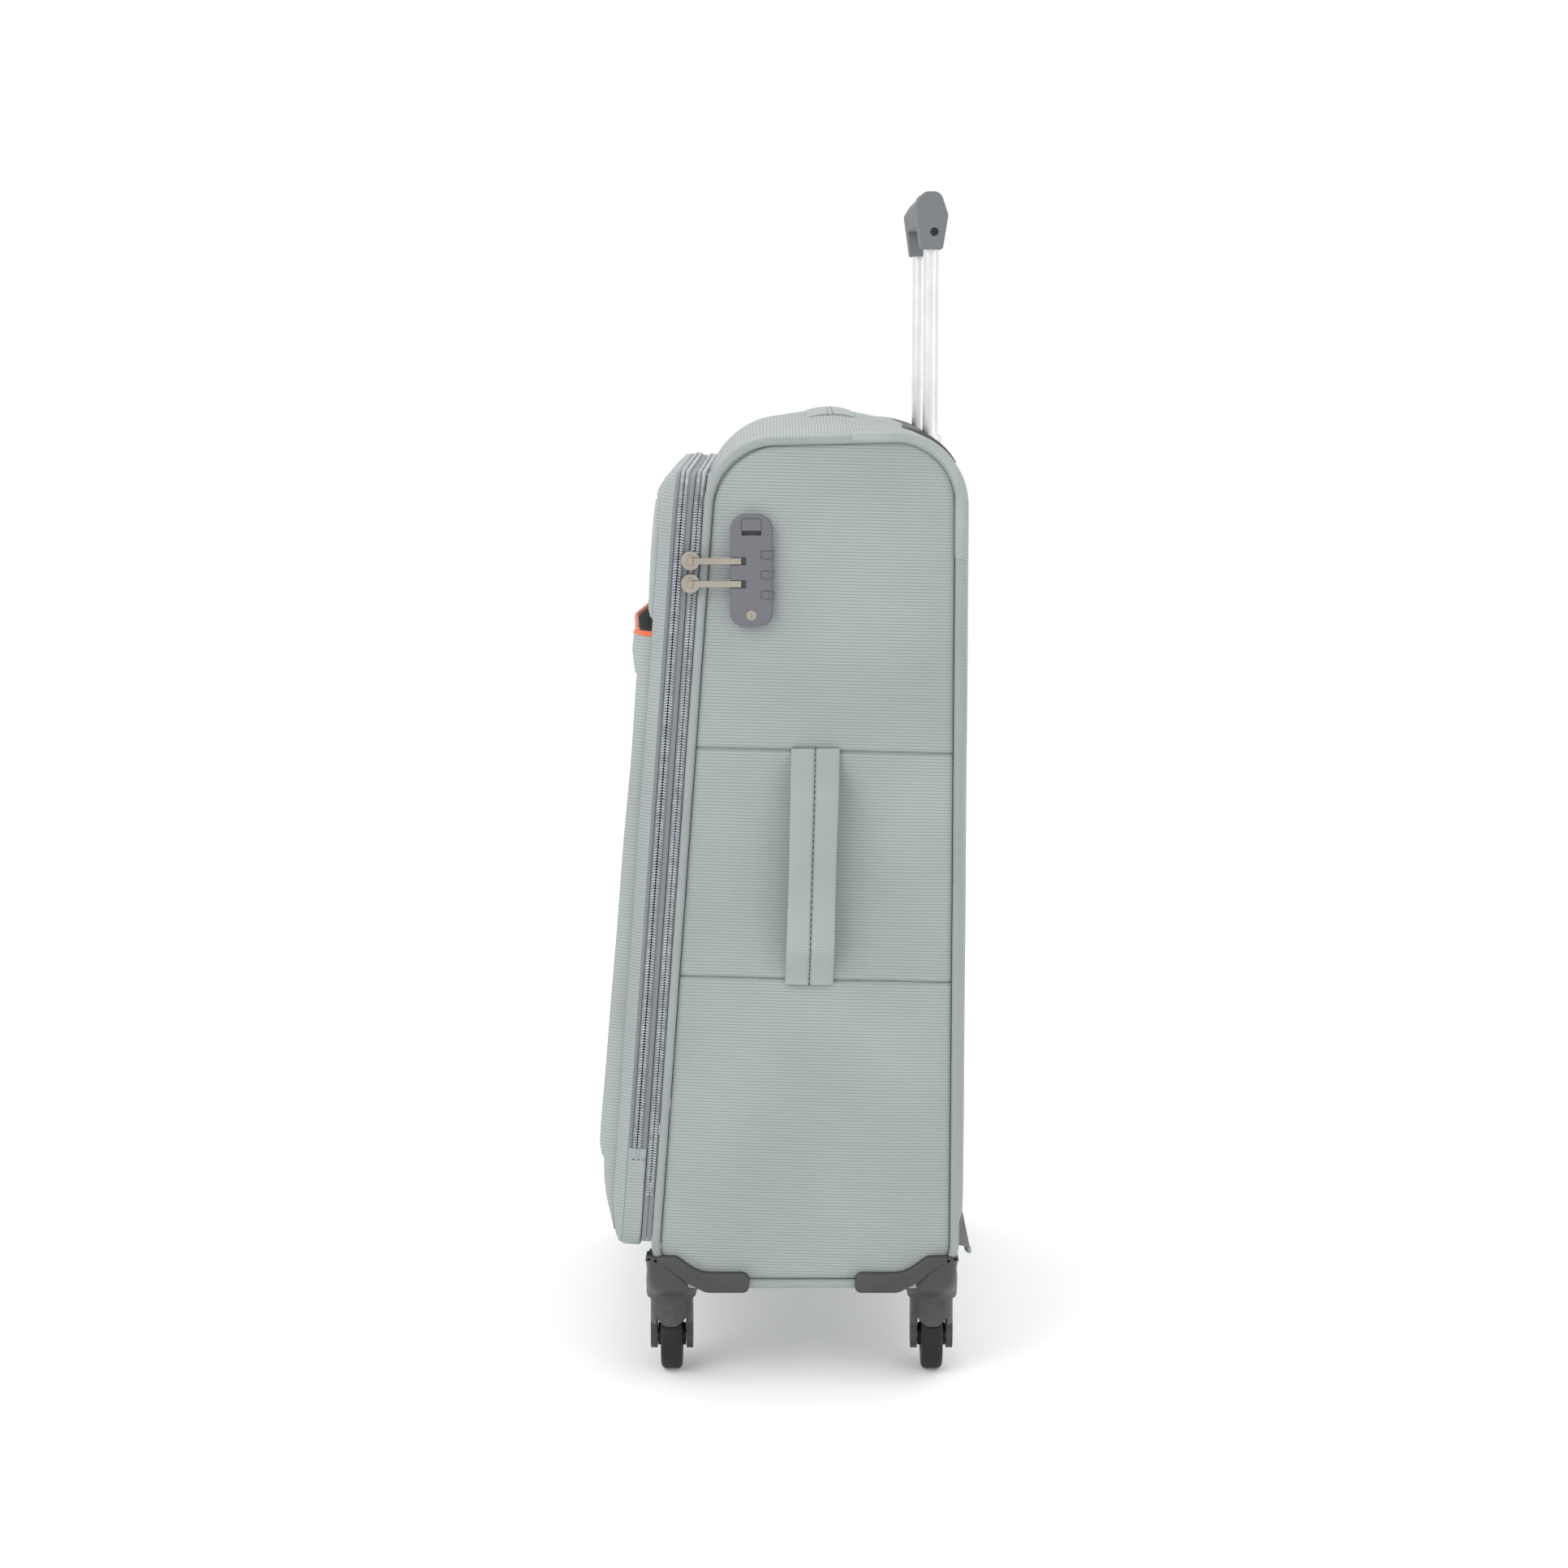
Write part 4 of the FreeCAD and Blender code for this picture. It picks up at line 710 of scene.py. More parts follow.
def finish(name):
    """The named material, made the first time it is asked for."""
    if name in bpy.data.materials:
        return bpy.data.materials[name]
    cloth, hard = fabric(), hardware()
    rib, yarn = cloth.rib_pitch / MM, cloth.yarn_pitch / MM
    makers = {
        # Ribbed cloths: painted groove shade at 0.66 of the base colour, lighter (0.85) on the strap.
        "shell_cloth": lambda: ribbed_finish(name, cloth.cloth, rib, yarn),
        "strap_cloth": lambda: ribbed_finish(name, cloth.cloth, rib * 0.8, yarn, 0.0002, 0.85),
        "welt_cloth": lambda: twill_finish(name, cloth.welt, 1.3, 0.7, 0.2, 0.0001),
        "bumper_cloth": lambda: moulded_finish(name, cloth.welt, 0.45, 1400.0, 0.00002, 0.0),
        "pocket_cloth": lambda: ribbed_finish(name, tinted(cloth.cloth, 1.05), rib, yarn),
        "zip_tape_cloth": lambda: twill_finish(name, cloth.tape, 1.1, 0.7, 0.25),
        # Zip coil: its turns carry a strong painted edge highlight (0.6).
        "zip_coil": lambda: moulded_finish(name, cloth.coil, 0.28, edge_highlight=0.6, Coat_Weight=0.3),
        "lining_cloth": lambda: twill_finish(name, cloth.lining, 0.8, 0.6, 0.3),
        "binding_cloth": lambda: twill_finish(name, cloth.binding, 1.2, 0.6, 0.25),
        "sewing_thread": lambda: twill_finish(name, cloth.thread, 0.5, 0.6, 0.2),
        # Moulded finishes: the number after the bump depth sets the painted edge highlight; the shoe keeps
        # the default.
        "shoe_plastic": lambda: moulded_finish(name, hard.shoe, 0.46, 1100.0),
        "grip_plastic": lambda: moulded_finish(
            name, hard.grip, 0.42, 1300.0, 0.00003, 0.25, Specular_IOR_Level=0.3
        ),
        "lock_plastic": lambda: moulded_finish(
            name, hard.lock, 0.40, 1500.0, 0.00002, 0.2, Specular_IOR_Level=0.3
        ),
        "dark_plastic": lambda: moulded_finish(name, hard.dark, 0.38, 1300.0, 0.00002, 0.2),
        "tyre_rubber": lambda: moulded_finish(
            name, hard.tyre, 0.6, 1600.0, 0.00003, 0.15, Specular_IOR_Level=0.3
        ),
        "satin_tube": lambda: metal_finish(name, hard.tube, 0.30, (1.0, 1.0, 0.02)),
        "nickel_plate": lambda: metal_finish(name, hard.metal, 0.16),
        "bright_steel": lambda: metal_finish(name, (0.5, 0.5, 0.5), 0.3),
        # Black steel: strong painted edge highlight (0.6).
        "black_steel": lambda: moulded_finish(name, (0.01, 0.01, 0.012), 0.35, edge_highlight=0.6),
    }
    return makers[name]()


def dress(name, *nodes):
    """Gives carried-over CAD nodes a finish through their own material slots."""
    for node in nodes:
        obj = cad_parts[node]
        for spot in obj.material_slots:
            spot.material = finish(name)


# ---- shared shapes ----
def row_ends(z, inset, back):
    """Front and back y of the case's rounded side outline at each height z."""
    path, _ = case_loop(0.4, inset, back)
    middle = (FRONT_FOOT + CASE_BACK) / 2
    steep = np.abs(np.gradient(path[:, 1])) > 0.05 * np.abs(np.gradient(path[:, 0]))
    ends = []
    for side in (path[:, 0] < middle, path[:, 0] > middle):
        run = path[steep & side]
        run = run[np.argsort(run[:, 1])]
        ends.append(np.interp(z, run[:, 1], run[:, 0]))
    return ends


def case_depth(y, z, inset, back):
    """Distance inside the case's side outline, rounded at its corners."""
    front = FRONT_FOOT + (z - CASE_FOOT) * math.tan(LEAN) + inset / math.cos(LEAN)
    side = np.minimum((y - front) * math.cos(LEAN), CASE_BACK - back - y)
    fall = TOP_FALL * np.clip((CASE_BACK - TOP_R - y) / (CASE_DEPTH - 2 * TOP_R), 0, 1)
    found = []
    for edge, radius in (
        (z - CASE_FOOT - inset, FOOT_R - inset), (CASE_HEAD - inset - fall - z, TOP_R - inset)
    ):
        found.append(radius - np.hypot(np.maximum(radius - side, 0), np.maximum(radius - edge, 0)))
    return np.minimum(np.minimum(*found), np.minimum(side, 40))


def bowed(x):
    """Share of the crown left at distance x from the middle."""
    return (1 - np.clip(np.abs(x) / SHELL_HALF, 0, 1) ** 2.6) ** 1.1


def dome_height(x, y):
    """z of the domed top: the falling edge line plus its rise."""
    fall = TOP_FALL * np.clip((CASE_BACK - TOP_R - y) / (CASE_DEPTH - 2 * TOP_R), 0, 1)
    return CASE_HEAD - 2.0 - fall + np.interp(y, DOME_Y, DOME_RISE) * bowed(x)


def ripple(a, b, waves, seed):
    """Smooth unevenness: a few sine waves with random directions, phases and the given wavelengths."""
    rng = np.random.default_rng(seed)
    total = 0
    for wave in waves:
        turn, phase = rng.uniform(0, math.pi), rng.uniform(0, 2 * math.pi)
        total = total + np.sin((a * math.cos(turn) + b * math.sin(turn)) * 2 * math.pi / wave + phase)
    return total / len(waves)


def dip(distance, width):
    """Bell-shaped groove, 1 at its middle."""
    return np.exp(-((distance / width) ** 2))


def stitches(surface, path, length, width, height):
    """Row of stitches along a space curve that runs across Y: one bead each, at even steps, in finish 1."""
    spots, _ = resample(path, shape().stitch_gap / MM)
    forward = unit(np.gradient(spots, axis=0))
    side = np.tile(np.array([0.0, 1.0, 0.0]), (len(spots), 1))
    surface.beads(spots, forward, side, np.cross(forward, side), length, width, height, 1)


def coil(surface, path, out, n, tilt, finish_index):
    """One row of zip coil turns: beads across the tape, tilted along the zip."""
    pitch = shape().tooth_pitch / MM
    even, _ = resample(path, pitch)
    share, whole = np.linspace(0, 1, len(even)), np.linspace(0, 1, len(out))
    normals = unit(np.stack([np.interp(share, whole, c) for c in out.T], 1))
    spots = even + normals * 0.35
    origins = on_front(spots[:, 0], spots[:, 1], np.full(len(even), n))
    here = lean(0.0, 0.0, 0.0)
    ahead = unit(np.gradient(even, axis=0))
    flow = on_front(ahead[:, 0], ahead[:, 1], 0.0) - here
    over = on_front(normals[:, 0], normals[:, 1], 0.0) - here
    forward = np.broadcast_to(on_front(0.0, 0.0, 1.0) - here, flow.shape)
    angle = math.radians(tilt)
    long_way = forward * math.cos(angle) + flow * math.sin(angle)
    short_way = np.cross(over, long_way)
    surface.beads(origins, long_way, short_way, over, COIL_W, pitch * 0.80, 1.5, finish_index)


def zip_band(name, body, node, path, tape_n, coil_n, tilt, coil_path):
    """Half of a zip: a thin tape following the path, with its row of coil turns on top."""
    surface = Surface()
    out = outwards(path)
    section = block(-2.2, -0.35, tape_n[0], tape_n[1], 0.4)
    surface.grid(carried(path, out, section, on_front), close_v=True, caps=True)
    coil(surface, coil_path, outwards(coil_path), coil_n, tilt, 1)
    make(name, surface, [finish("zip_tape_cloth"), finish("zip_coil")], body, [node])


def piping_ring(inset, back, radius, x, seed):
    """Closed welt round the case's side outline: an oval section, slightly uneven along its length."""
    path, along = case_loop(2.5, inset, back)
    out = outwards(path, closed=True)
    swing = 1 + 0.03 * ripple(along, along * 0, (31.0, 57.0, 88.0), seed)
    section = oval(radius * 2, 6.6, 2.5, 18)[None] * swing[:, None, None]
    section = section + np.array([0.0, x])
    return carried(path, out, section, lambda a, b, h: on_side(a, b, h)), path


class SUITCASE_OT_stage(bpy.types.Operator):
    """Pale floor, soft lights and the camera"""

    bl_idname = "suitcase.stage"
    bl_label = "Stage"

    def execute(self, context):
        scene = context.scene
        floor = Surface()
        side = np.linspace(-9000, 9000, 3)
        y, x = np.meshgrid(side, side)
        floor.grid(on_floor(x, y, np.full(x.shape, -0.2)))
        mesh = bpy.data.meshes.new("floor")
        mesh.from_pydata(np.concatenate(floor.points) * MM, [], floor.faces)
        plate = bpy.data.objects.new("floor", mesh)
        material, nodes, shader, place = new_finish("floor_paint", Roughness=0.9, Emission_Strength=0.12)
        shader.inputs["Emission Color"].default_value = (1, 1, 1, 1)
        cloud = nodes.add("ShaderNodeTexNoise", {"Vector": place["Object"], "Scale": 1.5})
        body = nodes.mix(cloud.outputs[0], (0.86, 0.86, 0.86, 1), (0.90, 0.90, 0.90, 1))
        nodes.tree.links.new(body, shader.inputs["Base Color"])
        mesh.materials.append(material)
        scene.collection.objects.link(plate)
        world = bpy.data.worlds.new("studio")
        world.use_nodes = True
        world.node_tree.nodes["Background"].inputs["Color"].default_value = (1.0, 1.0, 1.0, 1)
        world.node_tree.nodes["Background"].inputs["Strength"].default_value = 1.0
        scene.world = world
        self.light("key", (2.4, -2.0, 2.6), 2.2, 42.0)
        self.light("fill", (2.8, 2.2, 1.6), 2.5, 9.0)
        self.light("crown", (-0.6, 0.4, 3.2), 2.4, 26.0)
        camera = bpy.data.objects.new("camera", bpy.data.cameras.new("camera"))
        camera.data.lens = 72.6
        camera.data.sensor_width = 36.0
        camera.location = (2.365, 0.0, 0.730)
        camera.rotation_euler = (math.radians(82), 0, math.radians(90))
        scene.collection.objects.link(camera)
        scene.camera = camera
        scene.view_settings.view_transform = "Standard"
        return {"FINISHED"}

    def light(self, name, place, size, power):
        lamp = bpy.data.lights.new(name, "AREA")
        lamp.size, lamp.energy = size, power
        holder = bpy.data.objects.new(name, lamp)
        holder.location = place
        target = np.array([0.0, 0.0, 0.35]) - np.array(place)
        level = math.hypot(target[0], target[1])
        holder.rotation_euler = (
            math.atan2(level, -target[2]), 0, math.atan2(target[1], target[0]) - math.pi / 2
        )
        bpy.context.scene.collection.objects.link(holder)


class SUITCASE_OT_side_panels(bpy.types.Operator):
    """Ribbed cloth over the two sides of the case, sewn down at two level seams"""

    bl_idname = "suitcase.side_panels"
    bl_label = "Side panels"

    def execute(self, context):
        inset, back = 6.2, 10.5
        z = graded(CASE_FOOT + inset, CASE_HEAD - inset, 3.6, 0.3, SIDE_SEAMS)
        share = graded(0, 200, 3.2, 0.5) / 200
        front, rear = row_ends(z, inset, back)
        y = front[:, None] + (rear - front)[:, None] * share[None, :]
        zz = np.broadcast_to(z[:, None], y.shape)
        slope = (y - 20) * 0.025
        depth = case_depth(y, zz, inset, back)
        tall, wide = z[-1] - z[0], 205.0
        cuts = [(seam - z[0]) / tall for seam in SIDE_SEAMS]
        field = swell(wide, tall, cuts)
        rise = field(np.broadcast_to(share[None, :], y.shape), np.clip((zz + slope - z[0]) / tall, 0, 1))
        x = SIDE_FACE_X + 2.4 * rounding(depth, 7.0) + shape().side_puff / MM * rise
        for seam in SIDE_SEAMS:
            off = zz + slope - seam
            pucker = ripple(y, zz, (9.0, 14.0, 23.0), 5)
            x = x - 2.4 * dip(off, 1.0) + 0.3 * pucker * dip(off + 8, 8)
        x = x + 0.25 * ripple(y, zz, (60.0, 95.0, 150.0), 3) * rounding(depth, 30.0)
        uv = np.stack([y, zz + slope], -1)
        surface = Surface()
        surface.slab(on_side(y, zz, x), on_side(y, zz, np.full(y.shape, SIDE_BACK_X)), uv, lining=0)
        left = surface.mirrored()
        cloth = [finish("shell_cloth")]
        make("side_cloth_right", surface, cloth, "case", ["side_panel_right"])
        make("side_cloth_left", left, cloth, "case", ["side_panel_left"])
        return {"FINISHED"}


class SUITCASE_OT_belt(bpy.types.Operator):
    """Cloth belt between the two pipings: base, back and domed top, swept along the case's side outline"""

    bl_idname = "suitcase.belt"
    bl_label = "Base, back and top"

    def execute(self, context):
        cloth = [finish("shell_cloth"), finish("lining_cloth")]
        corners = case_corners(1.5, 1.5, 0.8, 2.0)
        rear = corners[1][0]
        rear_foot = [
            (FRONT_FOOT + 26, CASE_FOOT + 1.5), (rear - 3, CASE_FOOT + 1.5), (rear - 3, CASE_FOOT + 24)
        ]
        self.sweep(
            "base_cloth",
            rear_foot,
            [0, FOOT_R - 3, 0],
            lambda y,
            z: -0.5 - 4 * smooth((z - 71) / 20),
            4.0,
            cloth,
            "base_pan"
        )
        back = [(rear, CASE_FOOT + 18), (rear, 619.6)]
        self.sweep("back_cloth", back, [0, 0], self.back_crown, 7.5, cloth, "back_panel")
        top = [(rear, 620.0), corners[2], corners[3], tuple(lean(0, -1.2, 540)[1:])]
        self.sweep(
            "top_cloth", top, [0, TOP_R - 2, FRONT_TOP_R - 2, 0], self.top_crown, 4.5, cloth, "top_panel"
        )
        return {"FINISHED"}

    def back_crown(self, y, z):
        """Rise of the back, drawn in towards the foot."""
        drawn = smooth((z - 84) / 60)
        return (shape().back_crown / MM + 0.5) * drawn * smooth((660 - z) / 60) - 8.0 * (1 - drawn)

    def top_crown(self, y, z):
        """Rise of the dome above the pipings, highest under the handle and fading towards both ends."""
        return np.interp(y, DOME_Y, DOME_RISE) * smooth((z - 596) / 44)

    def sweep(self, name, corners, radii, crown, drop, cloth, node):
        path, along = polyline(corners, radii, 2.4)
        out = outwards(path)
        x = graded(-SHELL_HALF, SHELL_HALF, 3.5, 0.5)
        edge = SHELL_HALF - np.abs(x)
        rise = np.array([crown(y, z) for y, z in path])
        bow = bowed(x)
        low_side = np.minimum(rise, 0)
        top = drop * (
            rounding(edge, 13.0)[None, :] - 1
        ) + low_side[:, None] + np.maximum(rise, 0)[:, None] * bow[None, :]
        top = top + 0.2 * ripple(
            along[:, None], x[None, :], (70.0, 110.0, 160.0), 8
        ) * rounding(edge, 40)[None, :]
        spots = path[:, None, :] + out[:, None, :] * top[..., None]
        under = path[:, None, :] + out[:, None, :] * (top * 0 - drop - 3.5)[..., None]
        wide = np.broadcast_to(x[None, :], top.shape)
        uv = np.stack([wide, np.broadcast_to(along[:, None], top.shape)], -1)
        surface = Surface()
        surface.slab(
            on_side(spots[..., 0], spots[..., 1], wide),
            on_side(under[..., 0], under[..., 1], wide),
            uv,
            lining=1
        )
        make(name, surface, cloth, "case", [node])


class SUITCASE_OT_piping(bpy.types.Operator):
    """Corded welts round both sides of the case and the smooth bumpers over its two rear top corners"""

    bl_idname = "suitcase.piping"
    bl_label = "Piping and corner bumpers"

    def execute(self, context):
        surface = Surface()
        for side, seed in ((1, 11), (-1, 12)):
            points, path = piping_ring(3.0, 7.3, 3.1, 211.4, seed)
            surface.grid(points * (side, 1, 1), close_u=True, close_v=True)
        make("welts", surface, [finish("welt_cloth")], "case", ["piping"])
        bumper = Surface()
        corners = [(46, CASE_HEAD - 3.2), (CASE_BACK - 7.0, CASE_HEAD - 3.2), (CASE_BACK - 7.0, 582)]
        path, along = polyline(corners, [0, TOP_R - 5.5, 0], 2.0)
        path = path[::-1]
        out = outwards(path)
        ends = np.minimum(along, along[-1] - along)
        fat = 0.90 + 0.10 * smooth(ends / 5)
        section = oval(7.4, 7.8, 3.0, 22)[None] * fat[:, None, None] + np.array([-0.1, 211.5])
        for side in (1, -1):
            bumper.grid(carried(path, out, section, on_side) * (side, 1, 1), close_v=True, caps=True)
        make("bumpers", bumper, [finish("bumper_cloth")], "case", ["corner_bumpers"])
        return {"FINISHED"}


class SUITCASE_OT_front_frame(bpy.types.Operator):
    """Turned-in cloth rim round the front opening, and the hinge strip along its foot"""

    bl_idname = "suitcase.front_frame"
    bl_label = "Front opening rim"

    def execute(self, context):
        path = lid_loop(3.0)
        surface = Surface()
        section = block(-14.0, -2.6, -4.5, -0.3, 0.8)
        surface.grid(
            carried(path, outwards(path, closed=True), section, on_front), close_u=True, close_v=True
        )
        section = block(-5.4, -0.4, -6.0, -0.2, 1.0)
        surface.grid(
            carried(path, outwards(path, closed=True), section, on_front), close_u=True, close_v=True
        )
        make("opening_rim", surface, [finish("shell_cloth")], "case", ["front_frame"])
        strip = Surface()
        n, x = np.linspace(-1.0, 7.0, 9), graded(-180, 180, 8, 1.0)
        sag = 1.1 * dip(n - 3.0, 2.4)
        outer = lean(x[None, :], n[:, None], (LID_FOOT + 0.2 - sag)[:, None])
        inner = lean(x[None, :], n[:, None], (LID_FOOT + 1.4 - sag)[:, None])
        strip.slab(outer, inner)
        ends = [tuple(lean(0, n, LID_FOOT) * MM) for n in (0.6, 6.4)]
        make(
            "hinge_cloth",
            strip,
            [finish("lining_cloth")],
            ("case", "lid", *ends),
            ["lid_hinge_strip"]
        )
        return {"FINISHED"}


class SUITCASE_OT_zips(bpy.types.Operator):
    """Tapes and coils of the main zip and of the expander zip"""

    bl_idname = "suitcase.zips"
    bl_label = "Zips"

    def execute(self, context):
        path = arch(MAIN_ZIP_FOOT - 4, 2.5)
        coil_path = arch(MAIN_ZIP_FOOT + 30, 1.0)
        zip_band(
            "main_zip_case_tape", "case", "main_zip_case", path, (0.3, 3.6), 2.25, 18, coil_path
        )
        zip_band(
            "main_zip_lid_tape", "lid", "main_zip_lid", path, (3.8, 7.2), 5.15, -18, coil_path
        )
        path = arch(EXPANDER_FOOT + 2, 2.5)
        zip_band(
            "expander_lid_tape", "lid", "expander_zip_lid", path, (11.2, 14.2), 13.3, 18, path
        )
        zip_band(
            "expander_front_tape",
            "front",
            "expander_zip_front",
            path,
            (15.2, 18.2),
            16.3,
            -18,
            path
        )
        return {"FINISHED"}


class SUITCASE_OT_lid(bpy.types.Operator):
    """Lid band, the wrap round its foot and the folded expander gusset"""

    bl_idname = "suitcase.lid"
    bl_label = "Lid band and gusset"

    def execute(self, context):
        path = lid_loop(3.0)
        out = outwards(path, closed=True)
        surface = Surface()
        surface.grid(
            carried(path, out, block(-3.0, -0.5, 7.6, 11.4, 0.8), on_front), close_u=True, close_v=True
        )
        make("lid_band_tape", surface, [finish("zip_tape_cloth")], "lid", ["lid_band"])
        surface = Surface()
        fold = np.array([(-2.6, 11.2), (-4.0, 12.6), (-6.2, 14.6), (-4.0, 16.6), (-2.6, 18.4)])
        fold = np.concatenate([fold, (fold - (1.0, 0.0))[::-1]])
        surface.grid(carried(path, out, fold, on_front), close_u=True, close_v=True)
        ends = [tuple(lean(0, n, 300) * MM) for n in (11.6, 17.8)]
        make(
            "gusset_cloth",
            surface,
            [finish("lining_cloth")],
            ("lid", "front", *ends),
            ["expander_gusset"]
        )
        wrap = Surface()
        path = cradle(EXPANDER_FOOT + 8, 2.0)
        out = outwards(path)
        wrap.grid(
            carried(path, out, block(-2.4, 0.5, 8.0, 20.6, 1.2, 9), on_front), close_v=True, caps=True
        )
        n = np.arange(9.5, 19.8, 3.6)
        for side in (1, -1):
            spots = lean(np.full(len(n), side * (LID_HALF + 0.7)), n, np.full(len(n), EXPANDER_FOOT + 0.5))
            ahead = np.tile(unit(lean(0, 1, 0) - lean(0, 0, 0)), (len(n), 1))
            lift = np.tile(np.array([side, 0, 0.0]), (len(n), 1))
            wrap.beads(spots, ahead, np.cross(lift, ahead), lift, 2.4, 0.6, 0.5, 1)
        ends = [tuple(lean(0, n, 60) * MM) for n in (11.5, 17.5)]
        cloth = [finish("shell_cloth"), finish("sewing_thread")]
        make("lid_foot_wrap", wrap, cloth, ("lid", "front", *ends))
        return {"FINISHED"}


class SUITCASE_OT_front_panel(bpy.types.Operator):
    """Padded front: its edge strip, the pillowed face and the lining behind it"""

    bl_idname = "suitcase.front_panel"
    bl_label = "Front panel"

    def execute(self, context):
        s = graded(LID_FOOT + 0.5, LID_HEAD - 0.5, 4.0, 0.35)
        share = graded(-100, 100, 2.0, 0.15) / 100
        x = lid_half_at(s, 0.5)[:, None] * share[None, :]
        ss = np.broadcast_to(s[:, None], x.shape)
        depth = lid_depth(x, ss, 0.5)
        field = swell(426, 550, [])
        rise = field((share[None, :] + 1) / 2 + 0 * ss, (ss - s[0]) / (s[-1] - s[0]))
        n = TRAY_EDGE_N + 8.4 * rounding(depth, 11.0, 2.2) + 1.6 * rise
        n = n + 0.3 * ripple(x, ss, (80.0, 120.0, 180.0), 21) * rounding(depth, 40)
        n = n - 0.9 * dip(depth - 3.0, 0.9) - 3.2 * smooth((66 - ss) / 34) * rounding(depth, 11.0, 2.2)
        surface = Surface()
        uv = np.stack([x, ss], -1)
        surface.slab(on_front(x, ss, n), on_front(x * 0.985, ss, n * 0 + 19.2), uv, lining=1)
        path = lid_loop(3.0)
        out = outwards(path, closed=True)
        surface.grid(
            carried(path, out, block(-3.2, -0.3, 18.3, 21.4, 0.8), on_front),
            close_u=True,
            close_v=True,
            finish=2
        )
        cloth = [finish("shell_cloth"), finish("lining_cloth"), finish("zip_tape_cloth")]
        pad = make("front_pad", surface, cloth, "front", ["front_panel"])
        return {"FINISHED"}


class SUITCASE_OT_upper_pocket(bpy.types.Operator):
    """Small padded pocket over the top of the front, a pillow inside a sewn rim"""

    bl_idname = "suitcase.upper_pocket"
    bl_label = "Upper pocket"

    def execute(self, context):
        low_s, high_s = 470.0, 565.0
        s, x = graded(low_s, high_s, 2.2, 0.4, [high_s - 14]), graded(-POCKET_HALF, POCKET_HALF, 3.0, 0.4)
        xx, ss = np.meshgrid(x, s)
        depth = lid_depth(xx, ss, 9.0)
        depth = np.minimum(depth, ss - low_s)
        field = swell(2 * POCKET_HALF, high_s - low_s, [])
        rise = field((xx + POCKET_HALF) / (2 * POCKET_HALF), (ss - low_s) / (high_s - low_s))
        n = 29.3 + 3.6 * rounding(depth, 12) + shape().pad_puff / MM * rise
        n = n - 1.0 * dip(ss - (high_s - 14), 1.0)
        keep = np.clip(lid_half_at(ss, 9.0) / POCKET_HALF, 0, 1)
        surface = Surface()
        uv = np.stack([xx * keep, ss], -1)
        surface.slab(on_front(xx * keep, ss, n), on_front(xx * keep, ss, n * 0 + 28.4), uv)
        pad = make(
            "upper_pocket_pad", surface, [finish("shell_cloth")], "front", ["upper_pocket"]
        )
        return {"FINISHED"}


class SUITCASE_OT_lower_pocket(bpy.types.Operator):
    """Large slip pocket: a padded wall standing off the front, bound round its mouth"""

    bl_idname = "suitcase.lower_pocket"
    bl_label = "Lower pocket"

    def execute(self, context):
        foot, base = POCKET_FOOT, 27.0
        s = graded(foot, POCKET_HEAD, 3.6, 0.4, [POCKET_SEAM, 89.0])
        knots = [foot, 42, 52, 62, 73, 84, 88, 91, 98, 112, 195, 281, 366, 428, 438, 448, POCKET_HEAD]
        level = [
            27.2,
            28.6,
            31.8,
            34.6,
            36.6,
            37.6,
            37.8,
            39.8,
            41.3,
            41.7,
            40.6,
            39.6,
            38.4,
            38.2,
            40.6,
            42.6,
            42.4
        ]
        face = np.interp(s, knots, level)
        outer_u, _ = polyline(
            [(-POCKET_HALF, 0), (-POCKET_HALF, 10), (POCKET_HALF, 10), (POCKET_HALF, 0)], [0, 5, 5, 0], 2.6
        )
        inset = 2.2
        x = np.broadcast_to(outer_u[None, :, 0], (len(s), len(outer_u)))
        ss = np.broadcast_to(s[:, None], x.shape)
        up = smooth((ss - POCKET_SEAM) / (POCKET_HEAD - POCKET_SEAM))
        share = outer_u[None, :, 1] / 10
        depth_n = (face - base)[:, None] * share
        field = swell(2 * POCKET_HALF, POCKET_HEAD - foot, [(POCKET_SEAM - foot) / (POCKET_HEAD - foot)])
        rise = field((x + POCKET_HALF) / (2 * POCKET_HALF), (ss - foot) / (POCKET_HEAD - foot))
        sag = shape().mouth_sag / MM * dip(x - 68, 62) - 2.2 * dip(x - 188, 9)
        n = base + depth_n + share * (1.2 * rise * (1 - up) + sag * up)
        n = n - share * 1.2 * dip(ss - POCKET_SEAM, 1.1) + share * 0.35 * ripple(
            x, ss, (60.0, 95.0, 140.0), 31
        ) * (ss > 95)
        x = x * (lid_half_at(ss, 9.0) / POCKET_HALF)
        outer = on_front(x, ss, n)
        inner = on_front(x * (1 - inset / POCKET_HALF), ss, np.maximum(n - inset * share, base - 0.4))
        surface = Surface()
        run = np.concatenate([[0], np.cumsum(np.linalg.norm(np.diff(outer_u, axis=0), axis=1))])
        uv = np.stack([np.broadcast_to(run[None, :], x.shape), ss], -1)
        surface.slab(outer, inner, uv, lining=1)
        cloth = [
            finish("pocket_cloth"), finish("lining_cloth"), finish("binding_cloth"), finish("sewing_thread")
        ]
        rim = (outer[-1] + inner[-1]) / 2 + (lean(0, 0, 0.4) - lean(0, 0, 0))
        surface.grid(rope(rim, 2.1, 1.5), close_v=True, caps=True, finish=2)
        wall = make("slip_pocket", surface, cloth, "front", ["lower_pocket"])
        return {"FINISHED"}


def rope(points, height, width, count=12):
    """Oval section along a space curve: height along the front plane's up, width across it."""
    ahead = unit(np.gradient(points, axis=0))
    up = unit(lean(0, 0, 1) - lean(0, 0, 0))
    side = unit(np.cross(ahead, up))
    section = oval(width * 2, height * 2, 2.2, count)
    return points[:, None, :] + side[:, None, :] * section[None, :, 0:1] + up * section[None, :, 1:2]


